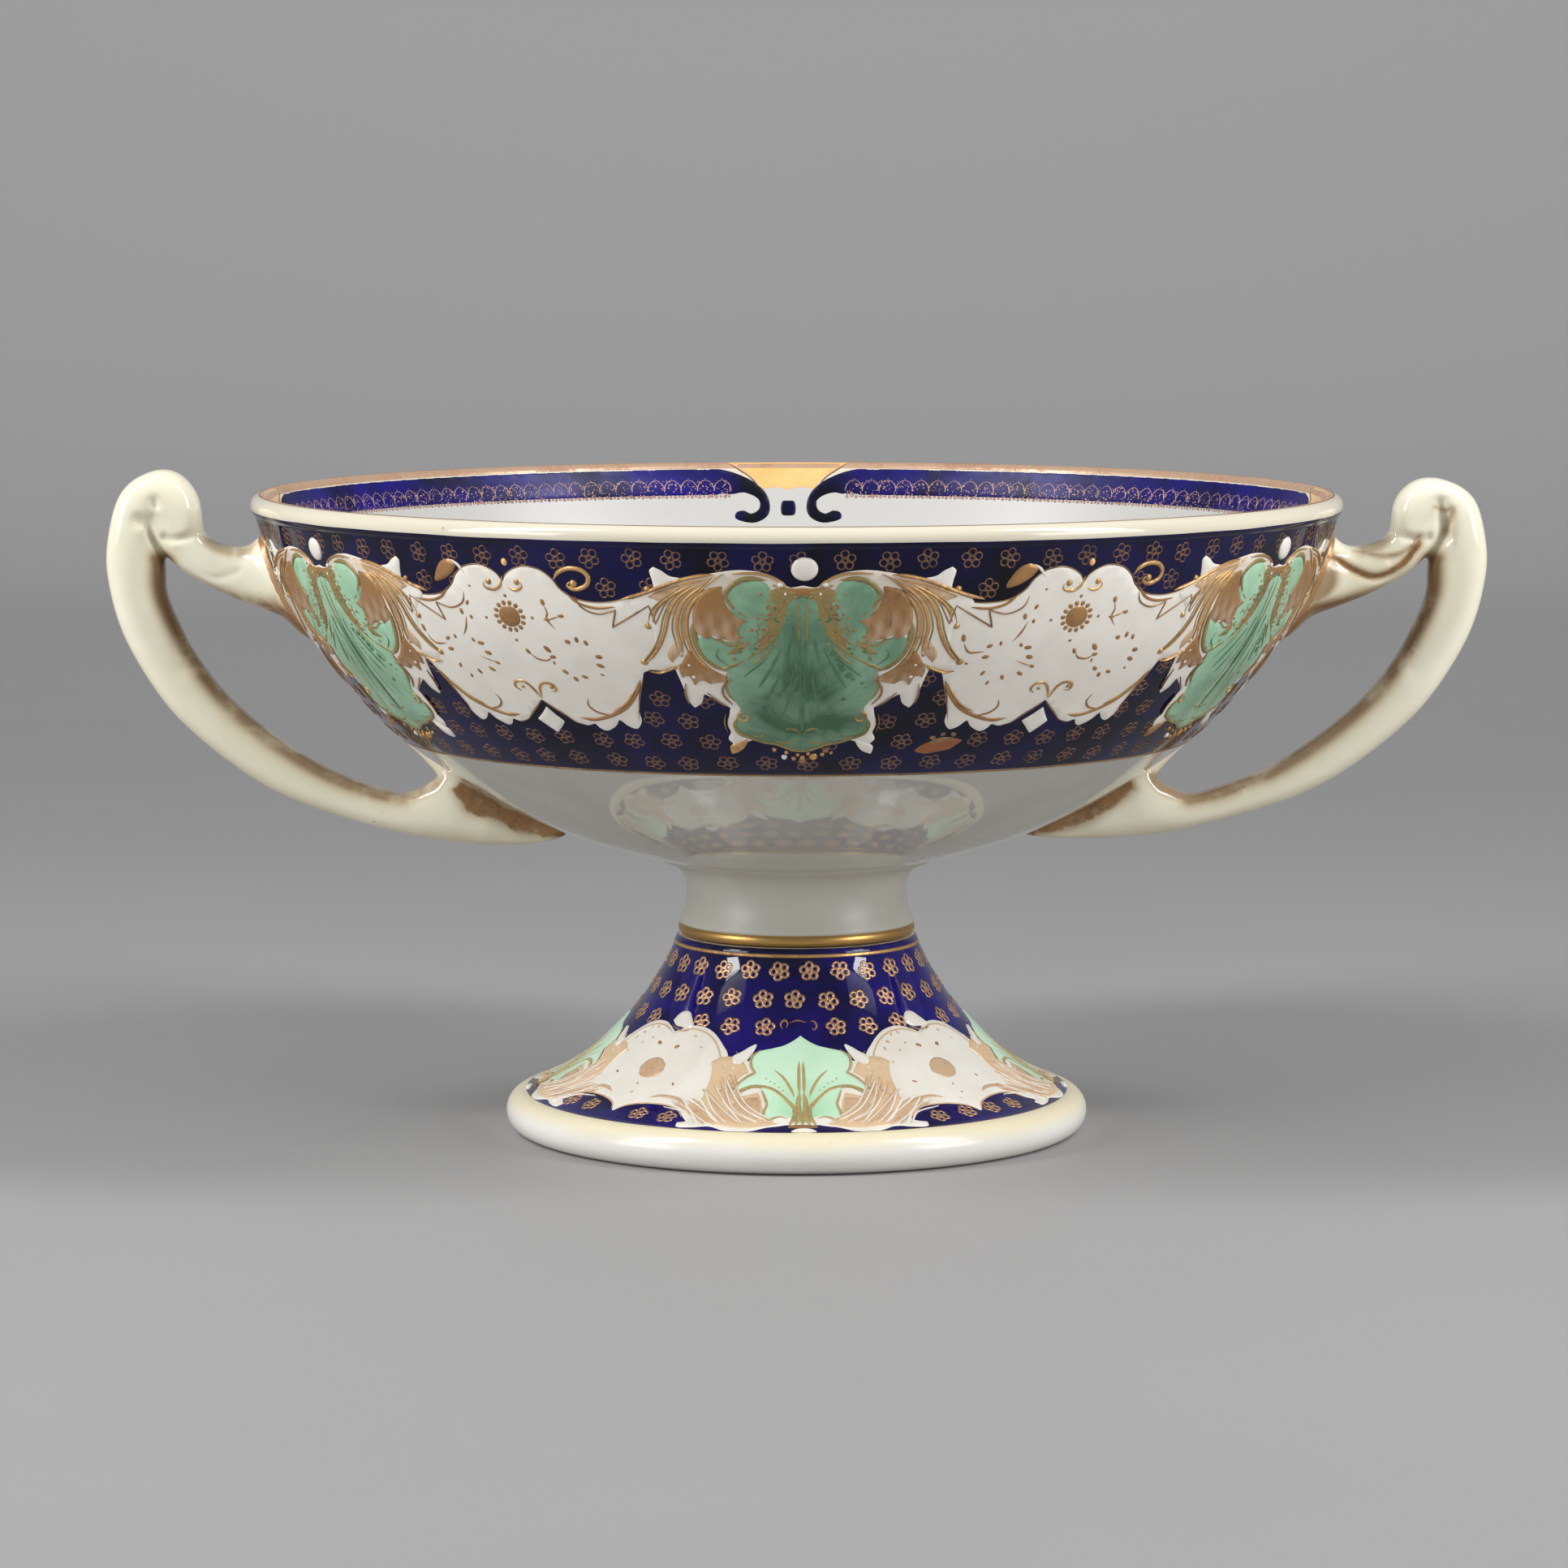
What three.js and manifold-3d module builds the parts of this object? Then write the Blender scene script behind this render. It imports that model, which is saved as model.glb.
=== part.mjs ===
// Twin-handled tazza in glazed porcelain: a wide bowl with a rolled lip, a waisted stem,
// a flared hollow foot, and two scroll handles that end in a leaf under the bowl.
// Millimetres, +Z up. The foot stands on z = 0 and the handles lie along X.
import * as THREE from 'three';
import { mergeVertices } from 'three/addons/utils/BufferGeometryUtils.js';
import Module from 'manifold-3d';

const wasm = await Module();
wasm.setup();

// Film of slip between two pieces that are luted together
const lutingGap = 0.3;
// Points that lie closer than this are one point of a solid
const weldDistance = 1e-4;

const foot = {
  radius: 67.3, // over the rolled rim
  rollRadius: 4.6,
  height: 45.4,
  crownRadius: 28, // top of the flare, under the crown's rounded edge
  crownRound: 1.2,
  wall: 5.6,
  restWidth: 6.5, // flat unglazed ring that the foot stands on
  restDepth: 2.8, // upright wall inside that ring, below the hollow of the flare
};

const stem = {
  height: 17.8, // from the foot's crown to the underside of the bowl
  beadRadius: 27.3,
  beadHeight: 2.6,
  waistRadius: 25.4,
  boreRadius: 18,
};

const bowl = {
  radius: 125, // over the rolled lip
  lipRadius: 2.5,
  lipOverhang: 1.3, // the lip stands this far out of the wall below it
  depth: 79.4, // from the seat on the stem to the underside of the lip
  seatRadius: 31.5,
  wall: 4.8,
};

const handle = {
  reach: 34.9, // from the bowl's wall under the lip to the outermost point
  halfThick: 7, // half the strap's thickness, seen from the side, at the top of the curl
  // rise: from the underside of the lip to the top of the curl
  // tuck: how much higher the underside of the sweep runs, as the two were fettled by hand
  // stretch: how long the leaf is drawn out along the wall, beside the other handle's
  left: { rise: 10, tuck: 0, stretch: 1 },
  right: { rise: 8.2, tuck: 1.5, stretch: 1.15 },
  rootInWall: 2.6, // how far the leaf is drawn into the wall before it is trimmed to it
  squareness: 0.75, // of the strap's section: 1 is an ellipse, and less is nearer a rounded oblong
};

// Facets round each turned body and each strap, and rings from one station of a strap to the next
const segments = { bowl: 56, stem: 40, foot: 48, section: 12, spans: 2 };
// Steps along each profile
const steps = { wall: 14, neck: 8, flare: 10, lip: 5, bead: 5, roll: 8, crown: 2 };

const seatZ = foot.height + stem.height;
const wallTopRadius = bowl.radius - bowl.lipOverhang;
const wallTopZ = seatZ + bowl.depth;

// Curves as shares of the space between their two ends, [across, up]
const wallShape = [
  [0, 0], [0.114, 0.035], [0.271, 0.098], [0.439, 0.196], [0.613, 0.332], [0.706, 0.426],
  [0.785, 0.531], [0.851, 0.626], [0.91, 0.727], [0.959, 0.848], [1, 1],
];
const flareShape = [
  [1, 0], [0.808, 0.08], [0.589, 0.227], [0.385, 0.42], [0.224, 0.605], [0.102, 0.79], [0.026, 0.932], [0, 1],
];
const neckShape = [[0.3, 0], [0.08, 0.24], [0, 0.5], [0.1, 0.72], [0.4, 0.89], [1, 1]];

// A handle is two straps, each drawn between an outer and an inner rail. A rail point is [across, up]:
// 0 to 1 runs from the stem's seat to the wall top, 1 to 2 runs on to the handle's reach and rise.
// The third value is half the strap's thickness there, as a share of halfThick.
const curlAndSweep = [
  [[1.364, 0.947], [1.582, 0.898], 0.943], // end of the curl, over the arm
  [[1.395, 1.36], [1.639, 0.955], 0.986],
  [[1.507, 1.88], [1.673, 0.977], 1],
  [[1.656, 2], [1.696, 0.982], 1], // top of the curl
  [[1.834, 1.73], [1.713, 0.967], 1],
  [[1.94, 1.19], [1.696, 0.929], 1],
  [[2, 0.897], [1.619, 0.864], 0.986], // outermost
  [[1.989, 0.798], [1.605, 0.771], 0.971],
  [[1.917, 0.673], [1.519, 0.675], 0.957],
  [[1.785, 0.554], [1.401, 0.579], 0.943],
  [[1.587, 0.428], [1.223, 0.477], 0.929],
  [[1.341, 0.324], [1.006, 0.389], 0.914],
  [[1.032, 0.224], [0.9, 0.304], 0.9],
  [[0.903, 0.159], [0.813, 0.248], 0.886],
  [[0.78, 0.11], [0.714, 0.205], 0.886],
  [[0.678, 0.077], [0.64, 0.186], 0.914],
  [[0.591, 0.055], [0.572, 0.222], 0.971], // crotch, where the leaf meets the wall
];
// The leaf lies along the wall: [across, height of its lower edge, half thickness]
const leaf = [
  [0.515, 0.043, 1.057], [0.428, 0.034, 1], [0.347, 0.034, 0.8], [0.282, 0.043, 0.486], [0.235, 0.06, 0.171],
];
// Its spur runs up the wall from the crotch: [across, how far it hangs below the wall, half thickness],
// with the last two as shares of halfThick
const spur = [
  [0.52, 0.714, 0.857], [0.56, 0.486, 0.657], [0.6, 0.3, 0.457], [0.64, 0.214, 0.314], [0.69, 0.143, 0.143],
];
const arm = [
  [[0.922, 0.961], [0.813, 0.615], 1.5], // flange, drawn into the wall
  [[0.992, 0.937], [0.882, 0.642], 1.4],
  [[1.043, 0.914], [0.941, 0.699], 1.171],
  [[1.12, 0.903], [1.023, 0.73], 1.029],
  [[1.246, 0.913], [1.209, 0.763], 0.971],
  [[1.33, 0.932], [1.381, 0.801], 0.943],
  [[1.393, 0.965], [1.519, 0.84], 0.914],
  [[1.473, 1.08], [1.653, 0.904], 0.857],
  [[1.593, 1.32], [1.742, 0.962], 0.771], // inside the curl, where it fills the eye
];

function curveBetween(shape, from, to, count) {
  const points = shape.map(([across, up]) => new THREE.Vector2(
    THREE.MathUtils.lerp(from.x, to.x, across),
    THREE.MathUtils.lerp(from.y, to.y, up),
  ));
  return new THREE.SplineCurve(points).getSpacedPoints(count);
}

function arc(centre, radius, fromDegrees, toDegrees, count) {
  return Array.from({ length: count + 1 }, (_, i) => {
    const angle = THREE.MathUtils.degToRad(THREE.MathUtils.lerp(fromDegrees, toDegrees, i / count));
    return new THREE.Vector2(centre.x + radius * Math.cos(angle), centre.y + radius * Math.sin(angle));
  });
}

// Moves each point of a profile square to it, to the left of its direction of travel
function offset(profile, distance) {
  return profile.map((point, i) => {
    const before = profile[Math.max(i - 1, 0)];
    const after = profile[Math.min(i + 1, profile.length - 1)];
    const along = after.clone().sub(before).normalize();
    return new THREE.Vector2(point.x - along.y * distance, point.y + along.x * distance);
  });
}

// A profile in (radius, height) turned round Z
function turned(profile, count) {
  return new THREE.LatheGeometry(profile, count).rotateX(Math.PI / 2);
}

function toSolid(geometry) {
  const bare = geometry.clone();
  bare.deleteAttribute('normal');
  bare.deleteAttribute('uv');
  const merged = mergeVertices(bare, weldDistance);
  return new wasm.Manifold(new wasm.Mesh({
    numProp: 3,
    vertProperties: new Float32Array(merged.attributes.position.array),
    triVerts: new Uint32Array(merged.index.array),
  }));
}

function toGeometry(solid) {
  const mesh = solid.getMesh();
  const geometry = new THREE.BufferGeometry();
  geometry.setAttribute('position', new THREE.BufferAttribute(mesh.vertProperties, 3));
  geometry.setIndex(new THREE.BufferAttribute(mesh.triVerts, 1));
  geometry.computeVertexNormals();
  return geometry;
}

const wallCurve = curveBetween(
  wallShape,
  new THREE.Vector2(bowl.seatRadius, seatZ),
  new THREE.Vector2(wallTopRadius, wallTopZ),
  steps.wall,
);
const lipCentre = new THREE.Vector2(bowl.radius - bowl.lipRadius, wallTopZ + bowl.lipRadius);

function bowlGeometry() {
  const inside = offset(wallCurve, bowl.wall).reverse();
  const floor = new THREE.Vector2(0, seatZ + bowl.wall);
  return turned([
    new THREE.Vector2(0, seatZ),
    ...wallCurve,
    ...arc(lipCentre, bowl.lipRadius, -45, 180, steps.lip),
    ...inside.slice(0, -1),
    floor,
  ], segments.bowl);
}

function stemGeometry() {
  const bottom = foot.height + lutingGap;
  const top = seatZ - lutingGap;
  const beadTop = bottom + stem.beadHeight;
  const beadRound = stem.beadHeight / 2;
  const beadCentre = new THREE.Vector2(stem.beadRadius - beadRound, bottom + beadRound);
  const neck = curveBetween(
    neckShape,
    new THREE.Vector2(stem.waistRadius, beadTop),
    new THREE.Vector2(bowl.seatRadius - lutingGap, top),
    steps.neck,
  );
  const bore = [new THREE.Vector2(stem.boreRadius, top), new THREE.Vector2(stem.boreRadius, bottom)];
  const bead = arc(beadCentre, beadRound, -90, 60, steps.bead);
  return turned([bore[1], ...bead, ...neck, ...bore], segments.stem);
}

function footGeometry() {
  const rollCentre = new THREE.Vector2(foot.radius - foot.rollRadius, foot.rollRadius);
  const flare = curveBetween(
    flareShape,
    new THREE.Vector2(foot.crownRadius, rollCentre.y * 2),
    new THREE.Vector2(rollCentre.x, foot.height - foot.crownRound),
    steps.flare,
  );
  const crownEdge = new THREE.Vector2(foot.crownRadius - foot.crownRound, foot.height - foot.crownRound);
  const inside = offset(flare, foot.wall).reverse();
  const innerRest = rollCentre.x - foot.restWidth;
  const hollow = [
    new THREE.Vector2(stem.boreRadius, foot.height),
    ...inside.filter((point) => point.x > stem.boreRadius && point.x < innerRest),
    new THREE.Vector2(innerRest, foot.restDepth),
    new THREE.Vector2(innerRest, 0),
  ];
  return turned([
    hollow.at(-1),
    ...arc(rollCentre, foot.rollRadius, -90, 90, steps.roll),
    ...flare.slice(1),
    ...arc(crownEdge, foot.crownRound, 30, 90, steps.crown),
    ...hollow,
  ], segments.foot);
}

// The handle's rail points in millimetres, in the plane of the handle
function onHandle([across, up], rise, tuck = 0) {
  const x = across <= 1
    ? THREE.MathUtils.lerp(bowl.seatRadius, wallTopRadius, across)
    : wallTopRadius + (across - 1) * handle.reach;
  const z = up <= 1
    ? THREE.MathUtils.lerp(seatZ + tuck, wallTopZ, up)
    : wallTopZ + (up - 1) * rise;
  return new THREE.Vector3(x, 0, z);
}

// Where the bowl's wall is at a given share of the way across, and so much above or below that
function byWall(across, lift) {
  const x = THREE.MathUtils.lerp(bowl.seatRadius, wallTopRadius, across);
  const next = wallCurve.findIndex((point) => point.x >= x);
  const [a, b] = [wallCurve[next - 1], wallCurve[next]];
  const z = THREE.MathUtils.mapLinear(x, a.x, b.x, a.y, b.y);
  return new THREE.Vector3(x, 0, z + lift);
}

// A strap with rounded edges between two rails
function strap(stations) {
  const outer = new THREE.CatmullRomCurve3(stations.map((station) => station.outer));
  const inner = new THREE.CatmullRomCurve3(stations.map((station) => station.inner));
  const halves = new THREE.SplineCurve(stations.map((station, i) => new THREE.Vector2(i, station.half)));
  const rings = (stations.length - 1) * segments.spans;
  const sides = segments.section;
  const vertices = [];
  const faces = [];
  for (let ring = 0; ring <= rings; ring += 1) {
    const t = ring / rings;
    const top = outer.getPoint(t);
    const bottom = inner.getPoint(t);
    const middle = top.clone().add(bottom).multiplyScalar(0.5);
    const across = top.clone().sub(bottom).multiplyScalar(0.5);
    const half = halves.getPoint(t).y * handle.halfThick;
    for (let side = 0; side < sides; side += 1) {
      const angle = (side / sides) * 2 * Math.PI;
      const flatten = (value) => Math.sign(value) * Math.abs(value) ** handle.squareness;
      const point = middle.clone().addScaledVector(across, flatten(Math.cos(angle)));
      vertices.push(point.x, half * flatten(Math.sin(angle)), point.z);
      if (ring < rings) {
        const here = ring * sides + side;
        const beside = ring * sides + ((side + 1) % sides);
        faces.push(here, here + sides, beside, beside, here + sides, beside + sides);
      }
    }
  }
  for (let side = 1; side < sides - 1; side += 1) {
    const last = rings * sides;
    faces.push(0, side, side + 1, last, last + side + 1, last + side);
  }
  const geometry = new THREE.BufferGeometry();
  geometry.setAttribute('position', new THREE.Float32BufferAttribute(vertices, 3));
  geometry.setIndex(faces);
  return geometry;
}

function handleGeometry({ rise, tuck, stretch }) {
  const station = ([outer, inner, half]) => ({
    outer: onHandle(outer, rise, tuck),
    inner: onHandle(inner, rise),
    half,
  });
  const leafStations = leaf.map(([across, lower, half]) => {
    const drawn = leaf[0][0] + (across - leaf[0][0]) * stretch;
    return { outer: onHandle([drawn, lower], rise, tuck), inner: byWall(drawn, handle.rootInWall), half };
  });
  const spurStations = spur.map(([across, hang, half]) => (
    { outer: byWall(across, -hang * handle.halfThick), inner: byWall(across, handle.rootInWall), half }
  ));
  const sweep = toSolid(strap([...curlAndSweep.map(station), ...leafStations]));
  const leafSpur = toSolid(strap(spurStations.reverse()));
  const upperArm = toSolid(strap(arm.map(station)));
  const trim = [
    new THREE.Vector2(0, seatZ - lutingGap),
    ...offset(wallCurve, -lutingGap),
    ...arc(lipCentre, bowl.lipRadius + lutingGap, -60, 90, steps.lip),
    new THREE.Vector2(0, wallTopZ + 2 * bowl.lipRadius + lutingGap),
  ];
  const inTheRough = sweep.add(upperArm).add(leafSpur);
  return toGeometry(inTheRough.subtract(toSolid(turned(trim, segments.bowl))));
}

const glaze = {
  cobalt: new THREE.MeshStandardMaterial({ color: 0x1a1458, roughness: 0.12, metalness: 0 }),
  white: new THREE.MeshStandardMaterial({ color: 0xdedbd2, roughness: 0.15, metalness: 0 }),
  cream: new THREE.MeshStandardMaterial({ color: 0xece8cd, roughness: 0.18, metalness: 0 }),
};

const tazza = new THREE.Group();

function place(name, geometry, material, turn = 0) {
  const mesh = new THREE.Mesh(geometry, material);
  mesh.name = name;
  mesh.rotation.z = turn;
  tazza.add(mesh);
}

place('foot', footGeometry(), glaze.cobalt);
place('stem', stemGeometry(), glaze.white);
place('bowl', bowlGeometry(), glaze.cobalt);
place('handle_right', handleGeometry(handle.right), glaze.cream);
place('handle_left', handleGeometry(handle.left), glaze.cream, Math.PI);

export default tazza;
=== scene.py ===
import math
import random

import bmesh
import bpy
import numpy as np
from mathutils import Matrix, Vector
from mathutils.geometry import delaunay_2d_cdt


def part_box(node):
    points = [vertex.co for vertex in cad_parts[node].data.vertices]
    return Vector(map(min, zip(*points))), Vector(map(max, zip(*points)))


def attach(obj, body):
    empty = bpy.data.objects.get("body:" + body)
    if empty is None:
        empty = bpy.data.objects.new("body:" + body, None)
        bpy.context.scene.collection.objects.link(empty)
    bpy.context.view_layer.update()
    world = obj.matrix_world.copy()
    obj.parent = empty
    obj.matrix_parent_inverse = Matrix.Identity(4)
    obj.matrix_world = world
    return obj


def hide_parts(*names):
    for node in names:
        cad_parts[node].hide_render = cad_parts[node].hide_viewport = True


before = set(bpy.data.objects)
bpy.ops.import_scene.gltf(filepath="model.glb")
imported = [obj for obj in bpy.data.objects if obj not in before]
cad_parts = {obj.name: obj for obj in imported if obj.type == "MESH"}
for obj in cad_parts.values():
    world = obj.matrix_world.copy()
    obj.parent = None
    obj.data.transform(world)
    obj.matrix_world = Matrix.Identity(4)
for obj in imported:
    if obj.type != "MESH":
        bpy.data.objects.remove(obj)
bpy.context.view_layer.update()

# Twin-handled tazza, dressed in its glazes, enamels and gilding.
# Drawn in millimetres and laid out in metres. Ornament is drawn flat, as (degrees round, mm down),
# and then laid on the turned surface under it.

mm = 0.001


def cornersOf(node):                      # the lowest and the highest corner of a piece, in mm
    return [[v / mm for v in corner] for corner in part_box(node)]


bowlLow, bowlHigh = cornersOf("bowl")
footHigh = cornersOf("foot")[1]
stemLow = cornersOf("stem")[0]

print("tazza: curves and turned surfaces")


def along(a, b, share):
    return a + (b - a) * share


def asArray(points):
    return np.array([tuple(p) for p in points])


def smoothThrough(pts, countFor):         # Catmull-Rom through every point, free at both ends
    pts = [2 * pts[0] - pts[1]] + pts + [2 * pts[-1] - pts[-2]]
    out = []
    for a, b, c, d in zip(pts, pts[1:], pts[2:], pts[3:]):
        n = countFor(b, c)
        for k in range(n):
            t = k / n
            out.append(0.5 * (2 * b + (c - a) * t + (2 * a - 5 * b + 4 * c - d) * t * t
                              + (3 * b - a - 3 * c + d) * t * t * t))
    return out + [pts[-2]]


def splineThrough(points, step):
    pts = [Vector(p[:2]) for p in points]
    if len(pts) == 2:
        n = max(1, math.ceil((pts[1] - pts[0]).length / step))
        return [pts[0].lerp(pts[1], k / n) for k in range(n + 1)]
    return smoothThrough(pts, lambda b, c: max(2, math.ceil((c - b).length / step)))


def cornered(points, step, closed=True):  # a third value marks a corner, the rest is one smooth curve
    marks = [i for i, p in enumerate(points) if len(p) > 2]
    if closed:
        start = marks[0] if marks else 0
        points = points[start:] + points[:start] + [points[start]]
        marks = [i for i, p in enumerate(points) if len(p) > 2] or [0, len(points) - 1]
    else:
        marks = sorted({0, len(points) - 1, *marks})
    out = []
    for a, b in zip(marks, marks[1:]):
        out += splineThrough(points[a:b + 1], step)[:-1]
    return out if closed else out + [Vector(points[-1][:2])]


def mirrored(half):                       # half an outline, from its top on the centre line to its foot
    return half + [(-p[0],) + tuple(p[1:]) for p in reversed(half) if p[0] > 0]


def turnedSurface(profile, mmPerDegree, side=1, zero=0):
    # zero: the point of the profile from which millimetres down are counted
    path = asArray(profile)
    steps = np.hypot(*np.diff(path, axis=0).T)
    run = np.concatenate([[0], np.cumsum(steps)])
    run -= run[zero]
    tangent = np.gradient(path, run, axis=0)
    tangent /= np.hypot(*tangent.T)[:, None]
    normal = np.stack([-tangent[:, 1], tangent[:, 0]], 1) * side
    return {"run": run, "path": path, "normal": normal, "mmPerDegree": mmPerDegree}


def layOn(surface, flat, lift, turn):     # flat drawing (mm across, mm down) to points in metres
    def at(curve, i):                     # the profile's place or normal at each point's way down
        return np.interp(flat[:, 1], surface["run"], surface[curve][:, i])

    angle = np.radians(turn + flat[:, 0] / surface["mmPerDegree"])
    r = at("path", 0) + at("normal", 0) * lift
    z = at("path", 1) + at("normal", 1) * lift
    return np.stack([r * np.sin(angle), -r * np.cos(angle), z], 1) * mm


bowl = {"lipRadius": 2.5, "overhang": 1.3, "seat": 31.5, "wall": 4.8, "segments": 288,
        "floorRings": (24, 16, 8, 0), "mmPerDegree": 2.0}
wallTopR = bowlHigh[0] - bowl["overhang"]
wallTopZ = bowlHigh[2] - 2 * bowl["lipRadius"]
seatZ = bowlLow[2]
# Profiles as shares of the way across and up, from the first end to the last
wallShape = [(0, 0), (0.114, 0.035), (0.271, 0.098), (0.439, 0.196), (0.613, 0.332), (0.706, 0.426),
             (0.785, 0.531), (0.851, 0.626), (0.91, 0.727), (0.959, 0.848), (1, 1)]
flareShape = [(1, 0), (0.808, 0.08), (0.589, 0.227), (0.385, 0.42), (0.224, 0.605), (0.102, 0.79),
              (0.026, 0.932), (0, 1)]
neckShape = [(0.3, 0), (0.08, 0.24), (0, 0.5), (0.1, 0.72), (0.4, 0.89), (1, 1)]


def between(shape, a, b, step=1.2):
    return splineThrough([(along(a[0], b[0], u), along(a[1], b[1], v)) for u, v in shape], step)


def arcOf(centre, radius, a, b, steps):
    angles = [math.radians(along(a, b, i / steps)) for i in range(steps + 1)]
    return [Vector((centre[0] + radius * math.cos(t), centre[1] + radius * math.sin(t))) for t in angles]


def offsetBy(path, distance):
    out = []
    for i, p in enumerate(path):
        t = (path[min(i + 1, len(path) - 1)] - path[max(i - 1, 0)]).normalized()
        out.append(p + Vector((-t.y, t.x)) * distance)
    return out


wallCurve = between(wallShape, (bowl["seat"], seatZ), (wallTopR, wallTopZ))
lipCentre = (bowlHigh[0] - bowl["lipRadius"], wallTopZ + bowl["lipRadius"])
innerCurve = offsetBy(wallCurve, bowl["wall"])

foot = {"roll": 4.6, "crown": 28, "crownRound": 1.2, "wall": 5.6, "rest": 6.5, "segments": 224,
        "mmPerDegree": 0.8}
footR, footTop = footHigh[0], footHigh[2]
rollCentre = (footR - foot["roll"], foot["roll"])
flareCurve = between(flareShape, (foot["crown"], 2 * foot["roll"]),
                     (rollCentre[0], footTop - foot["crownRound"]))

crownEdge = (foot["crown"] - foot["crownRound"], footTop - foot["crownRound"])
innerWall = list(reversed(innerCurve))[2:-1]
lipOutside = arcOf(lipCentre, bowl["lipRadius"], 30, -60, 9)
lipInside = arcOf(lipCentre, bowl["lipRadius"], 70, 180, 11)
crownRound = arcOf(crownEdge, foot["crownRound"], 90, 10, 6)
bowlOutside = turnedSurface(lipOutside + wallCurve[::-1], bowl["mmPerDegree"], zero=len(lipOutside))
footOutside = turnedSurface(crownRound + flareCurve[::-1], foot["mmPerDegree"], zero=len(crownRound))
bowlInside = turnedSurface(lipInside + innerWall, bowl["mmPerDegree"], side=-1, zero=2)


def placed(name, data):                   # a new object in the scene
    made = bpy.data.objects.new(name, data)
    bpy.context.scene.collection.objects.link(made)
    return made


def paint(mesh, label, values):           # one value for each point, which a material reads
    layer = mesh.attributes.new(label, "FLOAT", "POINT")
    layer.data.foreach_set("value", values.astype(np.float32))


def tubeFaces(rings, n, closed=True):     # the skin of a tube: rings of n points each
    faces = []
    for k in range(rings if closed else rings - 1):
        a, b = k * n, (k + 1) % rings * n
        faces += [[a + i, b + i, b + (i + 1) % n, a + (i + 1) % n] for i in range(n)]
    return faces


class Heap:
    # Collects flat drawings that have been laid on a surface, and becomes one piece

    def __init__(self):
        self.points, self.faces, self.tones, self.count = [], [], [], 0

    def lay(self, surface, part, turn, flip=False, tone=None):
        # tone: how deeply the colour is shaded at each flat point, from 0 to 1
        flat, lift, faces = part
        self.tones.append(tone(flat[:, 0], flat[:, 1]) if tone else np.zeros(len(flat)))
        if flip:
            flat = flat * [-1, 1]
        self.points.append(layOn(surface, flat, lift, turn))
        self.faces += [[self.count + i for i in (face[::-1] if flip else face)] for face in faces]
        self.count += len(flat)

    def lathe(self, profile, segments, closed=False):
        # closed: the profile is a loop, otherwise it starts and ends on the axis
        n = len(profile)
        ring = asArray(profile)
        angle = np.arange(segments) / segments * 2 * math.pi
        pts = np.stack([np.outer(np.sin(angle), ring[:, 0]), -np.outer(np.cos(angle), ring[:, 0]),
                        np.outer(np.ones(segments), ring[:, 1])], 2).reshape(-1, 3)
        self.points.append(pts * mm)
        self.tones.append(np.zeros(len(pts)))
        for k in range(segments):
            a, b = self.count + k * n, self.count + (k + 1) % segments * n
            for i in range(n if closed else n - 1):
                j = (i + 1) % n
                self.faces.append([a + i, b + i, b + j, a + j])
        self.count += len(pts)

    def piece(self, name, material, slot, merge=False):
        mesh = bpy.data.meshes.new(name)
        mesh.from_pydata(np.concatenate(self.points).tolist(), [], self.faces)
        bm = bmesh.new()
        bm.from_mesh(mesh)
        if merge:                         # the ends of a lathe on the axis close to a point
            bmesh.ops.remove_doubles(bm, verts=bm.verts, dist=1e-6)
            bmesh.ops.dissolve_degenerate(bm, edges=bm.edges, dist=1e-7)
        bmesh.ops.recalc_face_normals(bm, faces=bm.faces)
        bm.to_mesh(mesh)
        bm.free()
        if not merge:
            paint(mesh, "shadeTone", np.concatenate(self.tones))
        mesh.shade_smooth()
        mesh.materials.append(material)
        made = placed(name, mesh)
        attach(made, "root")
        return made


def toFlat(surface, points):
    k = surface["mmPerDegree"]
    return [(p[0] * k,) + tuple(p[1:]) for p in points]


def insideOf(polygon, pts):
    x, y = pts[:, 0][:, None], pts[:, 1][:, None]
    x0, y0 = polygon[:, 0], polygon[:, 1]
    x1, y1 = np.roll(x0, -1), np.roll(y0, -1)
    with np.errstate(divide="ignore", invalid="ignore"):
        crosses = ((y0 > y) != (y1 > y)) & (x < (x1 - x0) * (y - y0) / (y1 - y0) + x0)
    return crosses.sum(1) % 2 == 1


def edgeDistance(polygon, pts):
    a = polygon[None]
    way = np.roll(polygon, -1, 0)[None] - a
    p = pts[:, None]
    share = np.clip(((p - a) * way).sum(2) / np.maximum((way ** 2).sum(2), 1e-12), 0, 1)
    return np.hypot(*np.moveaxis(a + way * share[..., None] - p, 2, 0)).min(1)


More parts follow.
